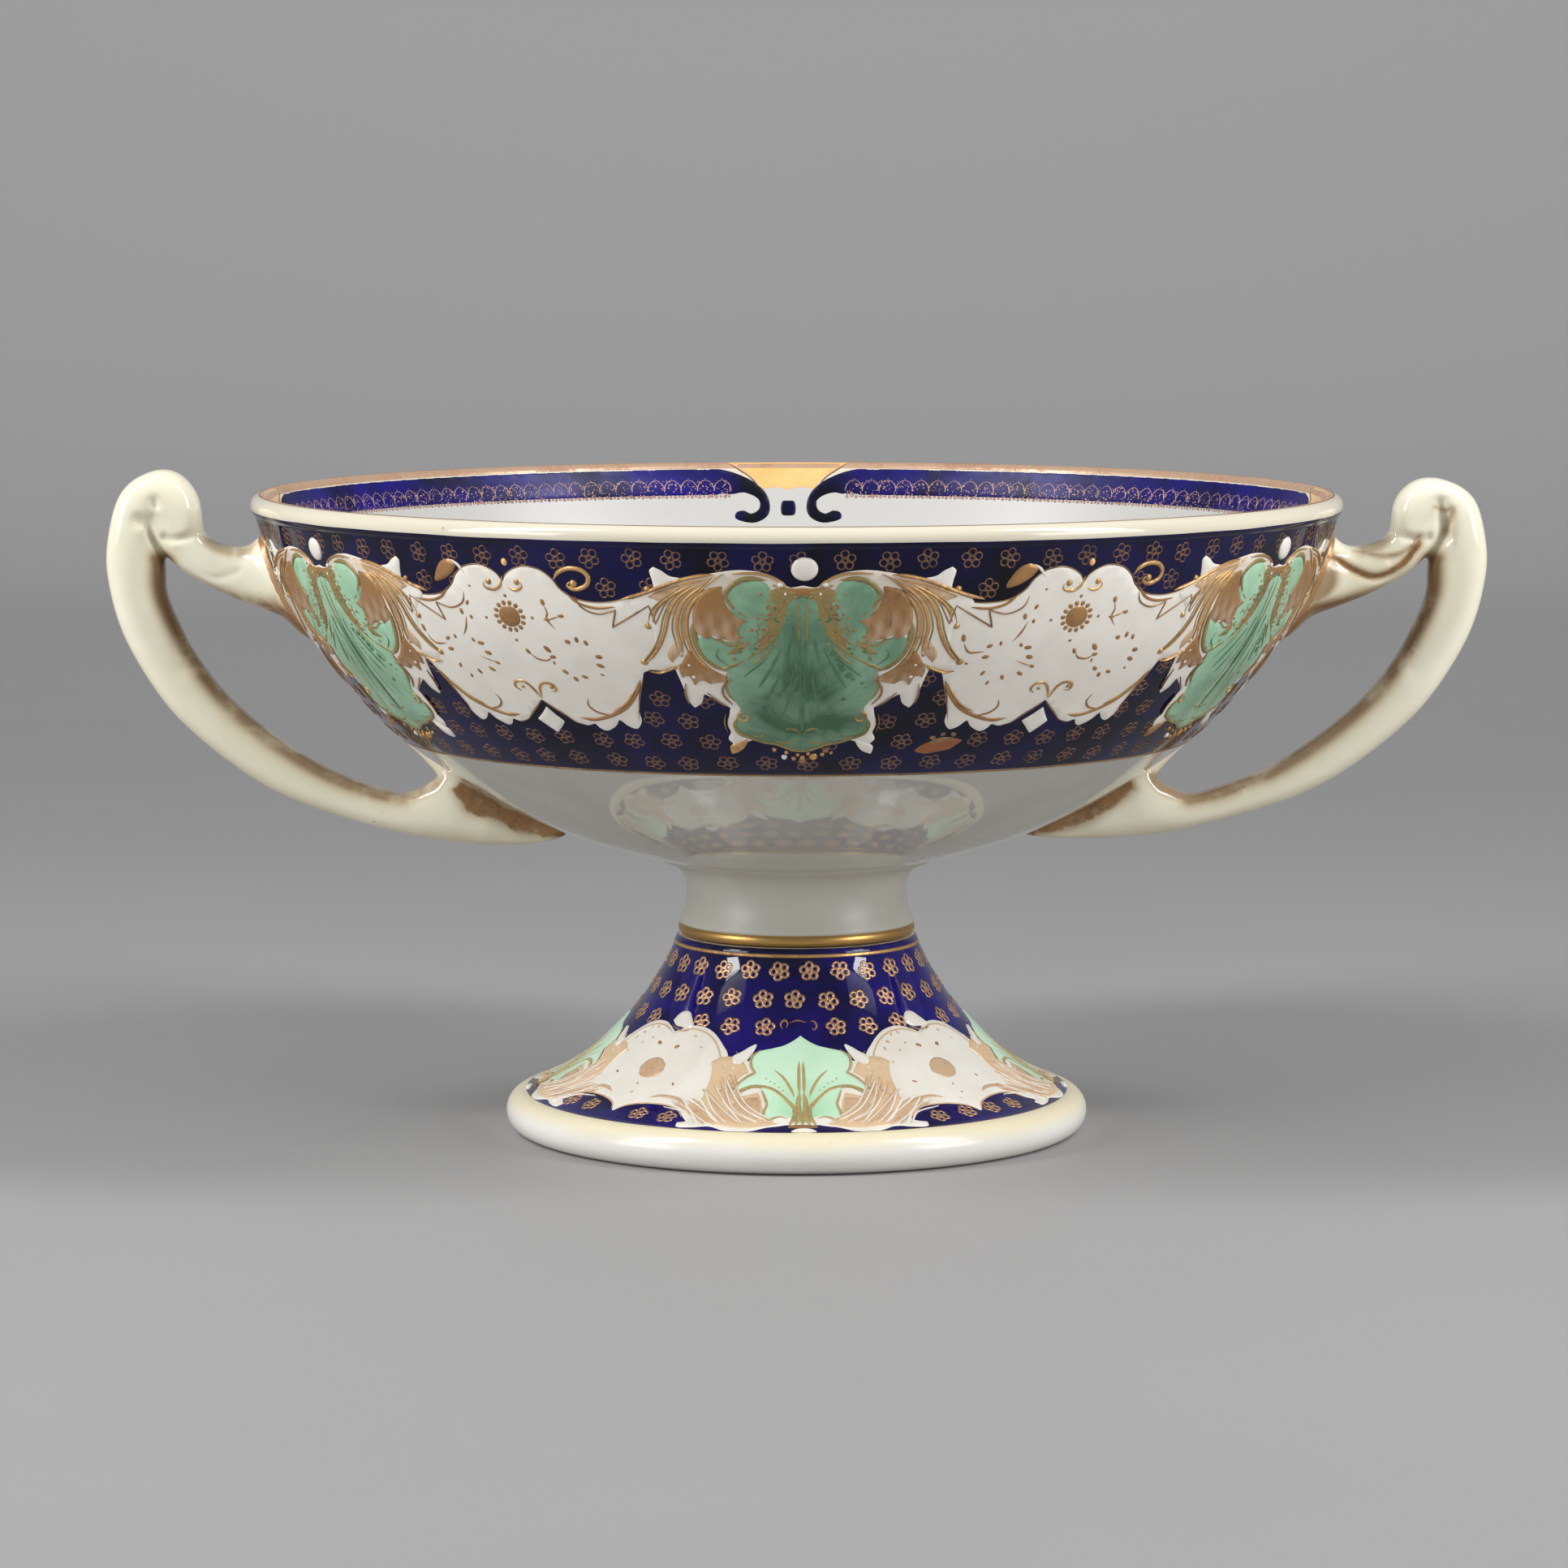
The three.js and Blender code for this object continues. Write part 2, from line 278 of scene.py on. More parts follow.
def enamel(surface, outline, height, bevel=0.35, grid=2.0, relief=None, sink=0.1, step=0.6):
    # A raised field of enamel: a flat outline, filled, with a rounded edge that dips under the glaze
    edge = asArray(cornered(toFlat(surface, outline), step))
    near = np.roll(edge, -1, 0) - np.roll(edge, 1, 0)
    near /= np.maximum(np.hypot(*near.T), 1e-9)[:, None]
    turn = np.sign((edge[:, 0] * np.roll(edge[:, 1], -1) - np.roll(edge[:, 0], -1) * edge[:, 1]).sum())
    ring = edge + np.stack([-near[:, 1], near[:, 0]], 1) * bevel * turn
    ring = ring[insideOf(edge, ring)]
    ring = ring[edgeDistance(edge, ring) > 0.75 * bevel]
    low, high = edge.min(0), edge.max(0)
    cells = np.mgrid[low[0]:high[0]:grid, low[1]:high[1]:grid].reshape(2, -1).T + grid / 2
    cells = cells[insideOf(edge, cells)]
    cells = cells[edgeDistance(edge, cells) > 2 * bevel] if len(cells) else cells
    pts = [Vector(p) for p in np.concatenate([edge, ring, cells]).tolist()]
    made = delaunay_2d_cdt(pts, [], [list(range(len(edge)))], 1, 1e-5)
    flat = asArray(made[0])
    top = [list(f) for f in made[2]]
    deep = edgeDistance(edge, flat)
    rise = np.clip(deep / bevel, 0, 1)
    lift = -sink + (height + sink) * rise * (2 - rise)
    if relief is not None:
        lift = lift + relief(flat[:, 0], flat[:, 1]) * np.clip(deep / 1.5, 0, 1)
    n = len(flat)
    sides = dict.fromkeys((a, b) for f in top for a, b in zip(f, f[1:] + f[:1]))
    walls = [[a, a + n, b + n, b] for a, b in sides if (b, a) not in sides]
    faces = top + [[i + n for i in reversed(f)] for f in top] + walls
    return np.concatenate([flat, flat]), np.concatenate([lift, np.full(n, -sink - 0.12)]), faces


ridge = [(-0.5, -0.03), (-0.22, 0.8), (0.22, 0.8), (0.5, -0.03), (0, -0.9)]   # across, up


def stroke(surface, points, width, height=0.12, taper=2.5, step=0.7, base=0.0):
    # A brushed line of raised gold, thin at both tips. base: the height of what it is drawn on
    path = asArray(cornered(toFlat(surface, points), step, closed=False))
    ways = np.gradient(path, axis=0)
    run = np.concatenate([[0], np.cumsum(np.hypot(*np.diff(path, axis=0).T))])
    swell = np.clip(np.minimum(run, run[-1] - run) / min(taper, run[-1] / 2), 0, 1) ** 0.7
    ways /= np.maximum(np.hypot(*ways.T), 1e-9)[:, None]
    across = np.stack([-ways[:, 1], ways[:, 0]], 1)
    m, n = len(ridge), len(path)
    wide, high = np.array(ridge).T
    flat = path[:, None] + across[:, None] * (width * swell[:, None, None]) * wide[None, :, None]
    lift = base + high[None] * height * (0.25 + 0.75 * swell[:, None])
    if base:
        lift[:, -1] = -0.1                # its root reaches down to the glaze
    ends = [list(range(m))[::-1], [(n - 1) * m + i for i in range(m)]]
    return flat.reshape(-1, 2), lift.reshape(-1), tubeFaces(n, m, closed=False) + ends


def bead(surface, x, y, radius, height, stretch=1.0, angle=0.0, sides=14, rings=3, base=0.0):
    # A drop of raised enamel or gold. x in degrees, the rest in mm
    flat, lift = [(0, 0)], [base + height]
    for k in range(1, rings + 1):
        share = k / rings
        for i in range(sides):
            t = i / sides * 2 * math.pi
            flat.append((radius * stretch * share * math.cos(t), radius * share * math.sin(t)))
            lift.append(base + height * math.sqrt(max(0, 1 - share * share)) - 0.06 * share)
    flat.append((0, 0))
    lift.append(-0.2)
    faces = [[0, 1 + (i + 1) % sides, 1 + i] for i in range(sides)]
    for k in range(rings - 1):
        a, b = 1 + k * sides, 1 + (k + 1) * sides
        faces += [[a + i, a + (i + 1) % sides, b + (i + 1) % sides, b + i] for i in range(sides)]
    last = 1 + (rings - 1) * sides
    faces += [[last + i, last + (i + 1) % sides, len(flat) - 1] for i in range(sides)]
    c, s = math.cos(math.radians(angle)), math.sin(math.radians(angle))
    flat = np.array(flat, float) @ np.array([[c, s], [-s, c]])
    return flat + [x * surface["mmPerDegree"], y], np.array(lift), faces


def curlPath(surface, x, y, radius, start, turns, tail=0.25):
    # A scroll's spiral, wound inwards from its start angle, as points in degrees and mm
    n = max(6, int(abs(turns) * 14))
    out = []
    for i in range(n + 1):
        t = math.radians(start) + i / n * turns * 2 * math.pi
        r = radius * along(1, tail, i / n)
        out.append((x + r * math.cos(t) / surface["mmPerDegree"], y + r * math.sin(t)))
    return out


print("tazza: glazes and gilding")


def group(name, ins, outs):
    tree = bpy.data.node_groups.new(name, "ShaderNodeTree")
    for label, value in ins.items():
        kind = "NodeSocketColor" if isinstance(value, tuple) else "NodeSocketFloat"
        tree.interface.new_socket(label, in_out="INPUT", socket_type=kind).default_value = value
    for label, kind in outs.items():
        tree.interface.new_socket(label, in_out="OUTPUT", socket_type="NodeSocket" + kind)
    return tree, tree.nodes.new("NodeGroupInput"), tree.nodes.new("NodeGroupOutput")


def add(tree, kind, settings=None, **sockets):
    made = tree.nodes.new("ShaderNode" + kind)
    for key, value in (settings or {}).items():
        setattr(made, key, value)
    for key, value in sockets.items():
        socket = made.inputs[int(key[1:]) if key[1:].isdigit() else key.replace("_", " ")]
        if isinstance(value, bpy.types.NodeSocket):
            tree.links.new(value, socket)
        else:
            socket.default_value = value
    return made


def maths(tree, operation, a, b=0.0, clamp=False):
    return add(tree, "Math", {"operation": operation, "use_clamp": clamp}, i0=a, i1=b).outputs[0]


def mixed(tree, factor, a, b):
    return add(tree, "Mix", {"data_type": "RGBA"}, i0=factor, i6=a, i7=b).outputs[2]


def ramp(tree, value, low, high):
    return add(tree, "MapRange", {"interpolation_type": "SMOOTHSTEP"}, Value=value, From_Min=low,
               From_Max=high).outputs[0]


def rgb(r, g, b):                         # an sRGB colour as a person reads it, made linear
    return tuple(((v / 255 + 0.055) / 1.055) ** 2.4 if v > 10 else v / 3294 for v in (r, g, b)) + (1.0,)


def glazeGroup():
    # Ripple of the fired glaze, pooling of its colour, pinholes and the fine craze
    tree, ins, outs = group("glazeSkin", {"Ripple": 1.0, "Pool Size": 60.0, "Specks": 0.5, "Craze": 0.0},
                            {"Height": "Float", "Pool": "Float", "Speck": "Float", "Craze": "Float"})
    place = add(tree, "TexCoord").outputs["Object"]
    fine = add(tree, "TexNoise", Vector=place, Scale=420.0, Detail=2.0, Roughness=0.45).outputs[0]
    broad = add(tree, "TexNoise", Vector=place, Scale=70.0, Detail=1.0).outputs[0]
    wave = maths(tree, "ADD", maths(tree, "MULTIPLY", fine, 0.25), broad)
    tree.links.new(maths(tree, "MULTIPLY", wave, ins.outputs["Ripple"]), outs.inputs["Height"])
    pool = add(tree, "TexNoise", Vector=place, Scale=ins.outputs["Pool Size"], Detail=5.0, Roughness=0.62,
               Distortion=0.6).outputs[0]
    tree.links.new(ramp(tree, pool, 0.3, 0.7), outs.inputs["Pool"])
    dots = add(tree, "TexVoronoi", Vector=place, Scale=170.0, Randomness=1.0)
    rare = add(tree, "TexNoise", Vector=place, Scale=33.0, Detail=1.0).outputs[0]
    speck = maths(tree, "MULTIPLY", ramp(tree, dots.outputs["Distance"], 0.1, 0.03),
                  ramp(tree, rare, 0.6, 0.72))
    tree.links.new(maths(tree, "MULTIPLY", speck, ins.outputs["Specks"]), outs.inputs["Speck"])
    cells = add(tree, "TexVoronoi", {"feature": "DISTANCE_TO_EDGE"}, Vector=place, Scale=95.0)
    where = add(tree, "TexNoise", Vector=place, Scale=18.0, Detail=2.0).outputs[0]
    craze = maths(tree, "MULTIPLY", ramp(tree, cells.outputs["Distance"], 0.012, 0.0),
                  ramp(tree, where, 0.52, 0.7))
    tree.links.new(maths(tree, "MULTIPLY", craze, ins.outputs["Craze"]), outs.inputs["Craze"])
    return tree


def goldGroup():
    # Fired gold: brushed thin in places, rubbed to brown on the high spots
    tree, ins, outs = group("rubbedGold", {"Bright": (1.0, 0.8, 0.4, 1.0), "Rubbed": (0.3, 0.15, 0.05, 1.0),
                                           "Wear": 0.5, "Grain": 900.0},
                            {"Colour": "Color", "Roughness": "Float", "Worn": "Float", "Height": "Float"})
    place = add(tree, "TexCoord").outputs["Object"]
    broad = add(tree, "TexNoise", Vector=place, Scale=85.0, Detail=4.0, Roughness=0.65).outputs[0]
    grain = add(tree, "TexNoise", Vector=place, Scale=ins.outputs["Grain"], Detail=3.0,
                Roughness=0.6).outputs[0]
    both = maths(tree, "ADD", maths(tree, "MULTIPLY", broad, 0.65), maths(tree, "MULTIPLY", grain, 0.35))
    limit = maths(tree, "SUBTRACT", 0.72, maths(tree, "MULTIPLY", ins.outputs["Wear"], 0.36))
    worn = maths(tree, "MULTIPLY", maths(tree, "SUBTRACT", both, limit), 7.0, clamp=True)
    tree.links.new(worn, outs.inputs["Worn"])
    tree.links.new(mixed(tree, worn, ins.outputs["Bright"], ins.outputs["Rubbed"]), outs.inputs["Colour"])
    rough = maths(tree, "ADD", 0.26, maths(tree, "MULTIPLY", grain, 0.16))
    tree.links.new(maths(tree, "ADD", rough, maths(tree, "MULTIPLY", worn, 0.22)), outs.inputs["Roughness"])
    tree.links.new(grain, outs.inputs["Height"])
    return tree


glazeSkin = glazeGroup()
rubbedGold = goldGroup()


def newMaterial(name):
    made = bpy.data.materials.new(name)
    made.use_nodes = True
    shader = made.node_tree.nodes["Principled BSDF"]
    return made, made.node_tree, shader


def bumped(tree, shader, height, strength, distance):
    made = add(tree, "Bump", Strength=strength, Distance=distance, Height=height)
    tree.links.new(made.outputs[0], shader.inputs["Normal"])


def glaze(name, thin, thick, rough=0.05, ripple=1.0, pool=60.0, specks=0.5, craze=0.0, bump=0.04,
          dirt=(0.12, 0.08, 0.05, 1), shaded=None, rising=None, lining=None, ior=1.52):
    made, tree, shader = newMaterial(name)
    skin = add(tree, "Group", {"node_tree": glazeSkin}, Ripple=ripple, Pool_Size=pool, Specks=specks,
               Craze=craze)
    colour = mixed(tree, skin.outputs["Pool"], thin, thick)
    if lining:                            # the faces that look at the axis: another tone, lighter than the outside's painted shade, dulled by use
        place = add(tree, "TexCoord").outputs["Object"]
        level = add(tree, "VectorMath", {"operation": "MULTIPLY"}, i0=place, i1=(1, 1, 0)).outputs[0]
        outward = add(tree, "VectorMath", {"operation": "DOT_PRODUCT"}, i0=level,
                      i1=add(tree, "NewGeometry").outputs["Normal"]).outputs["Value"]
        inner = ramp(tree, outward, 0.004, 0.0)
        colour = mixed(tree, inner, colour, lining)
    if shaded:                            # a second colour laid over the first, where the piece says so; on the bowl's green shells this is partly painted shade
        tone = add(tree, "Attribute", {"attribute_name": "shadeTone"}).outputs["Fac"]
        uneven = maths(tree, "MULTIPLY", maths(tree, "SUBTRACT", skin.outputs["Pool"], 0.5), 0.5)
        depth = maths(tree, "MULTIPLY", maths(tree, "ADD", uneven, 1.0), tone, clamp=True)
        colour = mixed(tree, depth, colour, shaded)
    if rising:                            # a tint that comes in between two heights
        low, high, tint = rising
        place = add(tree, "TexCoord").outputs["Object"]
        height = add(tree, "SeparateXYZ", Vector=place).outputs["Z"]
        wander = maths(tree, "MULTIPLY", maths(tree, "SUBTRACT", skin.outputs["Pool"], 0.5), 0.0012)
        colour = mixed(tree, ramp(tree, maths(tree, "ADD", height, wander), low, high), colour, tint)
    colour = mixed(tree, skin.outputs["Craze"], colour, dirt)
    colour = mixed(tree, skin.outputs["Speck"], colour, dirt)
    tree.links.new(colour, shader.inputs["Base Color"])
    roughness = maths(tree, "ADD", rough, maths(tree, "MULTIPLY", skin.outputs["Speck"], 0.3))
    roughness = maths(tree, "ADD", roughness, maths(tree, "MULTIPLY", skin.outputs["Pool"], rough * 0.4))
    if lining:
        roughness = maths(tree, "ADD", roughness, maths(tree, "MULTIPLY", inner, 0.35))
    tree.links.new(roughness, shader.inputs["Roughness"])
    bumped(tree, shader, skin.outputs["Height"], bump, 0.0004)
    shader.inputs["IOR"].default_value = ior
    return made, tree, shader, colour


def gilt(name, bright, rubbed, wear, metal=0.9, shaded=None):
    made, tree, shader = newMaterial(name)
    gold = add(tree, "Group", {"node_tree": rubbedGold}, Bright=bright, Rubbed=rubbed, Wear=wear)
    colour = gold.outputs["Colour"]
    if shaded:
        tone = add(tree, "Attribute", {"attribute_name": "shadeTone"}).outputs["Fac"]
        colour = mixed(tree, tone, colour, shaded)
    tree.links.new(colour, shader.inputs["Base Color"])
    tree.links.new(gold.outputs["Roughness"], shader.inputs["Roughness"])
    lost = maths(tree, "MULTIPLY", gold.outputs["Worn"], metal * 0.75)
    tree.links.new(maths(tree, "SUBTRACT", metal, lost, clamp=True), shader.inputs["Metallic"])
    bumped(tree, shader, gold.outputs["Height"], 0.25, 0.00008)
    return made


# the bowl's outside cobalt is set darkest, partly its own colour and partly painted shade as it faces down;
# the foot's and the inner band's are brighter, partly painted light as they face up
shadedCobaltGlaze = glaze("cobalt_glaze", rgb(13, 8, 68), rgb(2, 2, 8), rough=0.035, pool=42.0, specks=0.1,
                    bump=0.03, ior=1.34)[0]
vividLitCobalt = glaze("cobalt_glaze_foot", rgb(30, 17, 118), rgb(8, 6, 46), rough=0.035, pool=42.0,
                    specks=0.1, bump=0.03, ior=1.45)[0]
bandCobalt = glaze("cobalt_glaze_inside", rgb(28, 20, 122), rgb(8, 6, 50), rough=0.32, pool=42.0,
                   specks=0.1, bump=0.03, shaded=rgb(4, 4, 18), ior=1.34)[0]
# the white glaze of the bowl and of the stem is toned well below the panels' white: painted shade for the
# bowl's underside and the stem
shadedWhiteGlaze = glaze("white_glaze", rgb(190, 188, 179), rgb(180, 178, 168), rough=0.05, pool=25.0, specks=0.4,
                   lining=rgb(200, 199, 195), rising=(0.1425, 0.1436, rgb(223, 215, 194)))[0]
shadedStemGlaze = glaze("white_glaze_stem", rgb(194, 192, 182), rgb(184, 182, 171), rough=0.34, pool=25.0,
                  specks=0.4)[0]
panelEnamel = glaze("white_enamel", rgb(241, 236, 226), rgb(233, 227, 215), rough=0.1, pool=90.0,
                    specks=0.25, bump=0.08, shaded=rgb(206, 186, 164))[0]
# the green's darker second colour is partly the enamel's own shading and partly painted shade on the front
# and back shells
greenEnamel = glaze("green_enamel", rgb(178, 220, 186), rgb(162, 208, 172), rough=0.12, pool=70.0,
                    specks=0.3, bump=0.08, shaded=rgb(60, 98, 68))[0]
mintEnamel = glaze("mint_enamel", rgb(212, 243, 214), rgb(196, 234, 202), rough=0.12, pool=70.0,
                   specks=0.3, bump=0.08, shaded=rgb(150, 202, 152))[0]
veinEnamel = glaze("dark_green_veins", rgb(84, 130, 90), rgb(66, 108, 72), rough=0.16, pool=150.0)[0]
peachEnamel = glaze("peach_enamel", rgb(246, 202, 134), rgb(238, 182, 110), rough=0.08, pool=60.0)[0]
washGold = gilt("gold_wash", rgb(212, 180, 146), rgb(186, 146, 108), 0.6, metal=0.15)
lineGold = gilt("gilding", rgb(212, 168, 108), rgb(148, 110, 70), 0.7, metal=0.6)
leafGold = gilt("leaf_gilding", rgb(170, 126, 78), rgb(138, 100, 60), 0.6, metal=0.35,
                shaded=rgb(214, 186, 160))
umberGold = gilt("rubbed_gilding", rgb(158, 120, 80), rgb(112, 84, 58), 0.7, metal=0.3)
paleWash = gilt("pale_gold_wash", rgb(228, 198, 160), rgb(212, 170, 128), 0.55, metal=0.1)
oliveGold = gilt("olive_gilding", rgb(156, 138, 86), rgb(112, 102, 62), 0.6, metal=0.25)
beadGold = gilt("burnished_gilding", rgb(198, 158, 94), rgb(132, 100, 58), 0.25)
laceGold = gilt("lace_gilding", rgb(186, 146, 134), rgb(112, 86, 88), 0.6, metal=0.4)
lipGold = gilt("lip_gilding", rgb(214, 178, 148), rgb(178, 138, 112), 0.75, metal=0.4)
footFloretGold = gilt("foot_floret_gilding", rgb(206, 164, 130), rgb(132, 100, 84), 0.35, metal=0.8)
wornGold = gilt("worn_gilding", rgb(156, 92, 50), rgb(120, 84, 50), 0.6, metal=0.2)
# the bowl's florets are a darker, duller copy of the foot's floret gold: partly rubbed gold, partly painted
# shade on the bowl's downward face
shadedFloretGold = gilt("floret_gilding", rgb(126, 92, 72), rgb(74, 54, 48), 0.6, metal=0.4)
footVeinGold = gilt("foot_vein_gilding", rgb(186, 166, 112), rgb(152, 130, 84), 0.6, metal=0.15)


print("tazza: bowl, stem and foot bodies")


def bodyOf(name, profile, segments, material, slot, closed=False):
    heap = Heap()
    heap.lathe(profile, segments, closed)
    return heap.piece(name, material, slot, merge=not closed)


floorZ = seatZ + bowl["wall"]
bowlProfile = ([Vector((0, seatZ))] + wallCurve
               + arcOf(lipCentre, bowl["lipRadius"], -60, 180, 22)
               + innerWall
               + [Vector((r, floorZ)) for r in bowl["floorRings"]])
bowlBody = bodyOf("bowl_body", bowlProfile, bowl["segments"], shadedWhiteGlaze, "white_glaze")
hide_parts("bowl")

stem = {"bead": 27.3, "beadHeight": 2.6, "waist": 25.4, "bore": 18, "segments": 160,
        "seatBlend": [(1.4, 0.25), (2.0, 0.9)]}   # how the neck runs out under the bowl, out and up
beadTop = stemLow[2] + stem["beadHeight"]
beadCentre = (stem["bead"] - stem["beadHeight"] / 2, stemLow[2] + stem["beadHeight"] / 2)
seatBlend = [Vector((bowl["seat"] + out, seatZ + up)) for out, up in stem["seatBlend"]]
neckCurve = between(neckShape, (stem["waist"], beadTop), (bowl["seat"] - 0.2, seatZ - 0.5), 0.8)
stemProfile = ([Vector((stem["bore"], stemLow[2]))] + arcOf(beadCentre, stem["beadHeight"] / 2, -90, 60, 10)
               + neckCurve + seatBlend + [Vector((stem["bore"], seatBlend[-1].y))])
stemBody = bodyOf("stem_body", stemProfile, stem["segments"], shadedStemGlaze, "white_glaze", closed=True)
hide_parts("stem")

innerRest = rollCentre[0] - foot["rest"]
hollowCurve = [p for p in reversed(offsetBy(flareCurve, foot["wall"])) if stem["bore"] < p.x < innerRest]
footProfile = ([Vector((innerRest, 0))] + arcOf(rollCentre, foot["roll"], -90, 90, 24) + flareCurve[1:]
               + arcOf(crownEdge, foot["crownRound"], 20, 90, 6) + [Vector((stem["bore"], footTop))]
               + hollowCurve + [Vector((innerRest, foot["roll"] * 0.6))])
creamGlaze = glaze("cream_glaze", rgb(234, 232, 225), rgb(228, 225, 216), rough=0.16, pool=30.0, specks=0.6,
                   rising=(0.0045, 0.0088, rgb(236, 225, 192)))[0]
footBody = bodyOf("foot_body", footProfile, foot["segments"], creamGlaze, "cream_glaze", closed=True)
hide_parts("foot")


# The cobalt ground, from "top" to "end" in mm down the profile, and the gilt rings at its edges
cobalt = {
    "height": 0.05, "root": -0.12, "edge": -0.08,
    "bowl": {"top": -2.2, "end": 61.2, "ragged": 0.35, "seed": 3, "endRing": 0.7},
    "foot": {"top": -1.6, "end": 51.3, "ragged": 0.2, "seed": 5, "endRing": 0.5, "topRing": (0.45, 0.9)},
}


def groundBand(heap, surface, band, segments):
    # A band of colour laid on a turned surface, as a closed skin with hand-cut edges
    start, end, ragged = [band[k] for k in ("top", "end", "ragged")]
    rand = random.Random(band["seed"])
    waves = [(rand.choice((3, 5, 8, 13, 21, 34)), rand.uniform(0, 6.3), rand.uniform(0.3, 1))
             for _ in range(9)]

    def wobble(t, k):
        return sum(math.sin(n * t + p + k) * a for n, p, a in waves) / len(waves) * ragged

    # close rows over the tight bend at the top, wide ones below
    stops = np.concatenate([[start, start + 0.15], np.arange(start + 0.4, 0.8, 0.3),
                            np.arange(1.2, end - 0.4, 1.6), [end - 0.15, end]])
    shares = list((stops - start) / (end - start))
    lifts = [cobalt["edge"]] + [cobalt["height"]] * (len(shares) - 2) + [cobalt["edge"]]
    flat, lift = [], []
    for turn in np.arange(segments) / segments * 360:
        a = start + wobble(math.radians(turn), 0)
        b = end + wobble(math.radians(turn), 2) * 0.5
        for share, up in list(zip(shares, lifts)) + [(s, cobalt["root"]) for s in reversed(shares)]:
            flat.append((turn * surface["mmPerDegree"], along(a, b, share)))
            lift.append(up)
    heap.lay(surface, (np.array(flat), np.array(lift), tubeFaces(segments, 2 * len(shares))), 0)


bowlGround = Heap()
groundBand(bowlGround, bowlOutside, cobalt["bowl"], bowl["segments"])
bowlGround.piece("bowl_cobalt_ground", shadedCobaltGlaze, "cobalt_glaze")
footGround = Heap()
groundBand(footGround, footOutside, cobalt["foot"], foot["segments"])
footGround.piece("foot_cobalt_ground", vividLitCobalt, "cobalt_glaze")


def giltRing(heap, surface, s, width, height=0.09, segments=240):
    flat, lift = [], []
    for k in range(segments):
        for across, up in ridge:
            flat.append((k * 360 / segments * surface["mmPerDegree"], s + across * width))
            lift.append(up * height + cobalt["height"])
    heap.lay(surface, (np.array(flat), np.array(lift), tubeFaces(segments, len(ridge))), 0)


def strokes(surface, drawn, height, base=0.0, swell=1.0):       # each is (points, width)
    return [stroke(surface, pts, width * swell, height=height, base=base) for pts, width in drawn]


def beads(surface, drawn, height, base=0.0, sides=10, rings=2):  # each is (x, y, radius), stretch, angle
    return [bead(surface, x, y, radius, height, *more, sides=sides, rings=rings, base=base)
            for x, y, radius, *more in drawn]


print("tazza: ornament round the bowl")

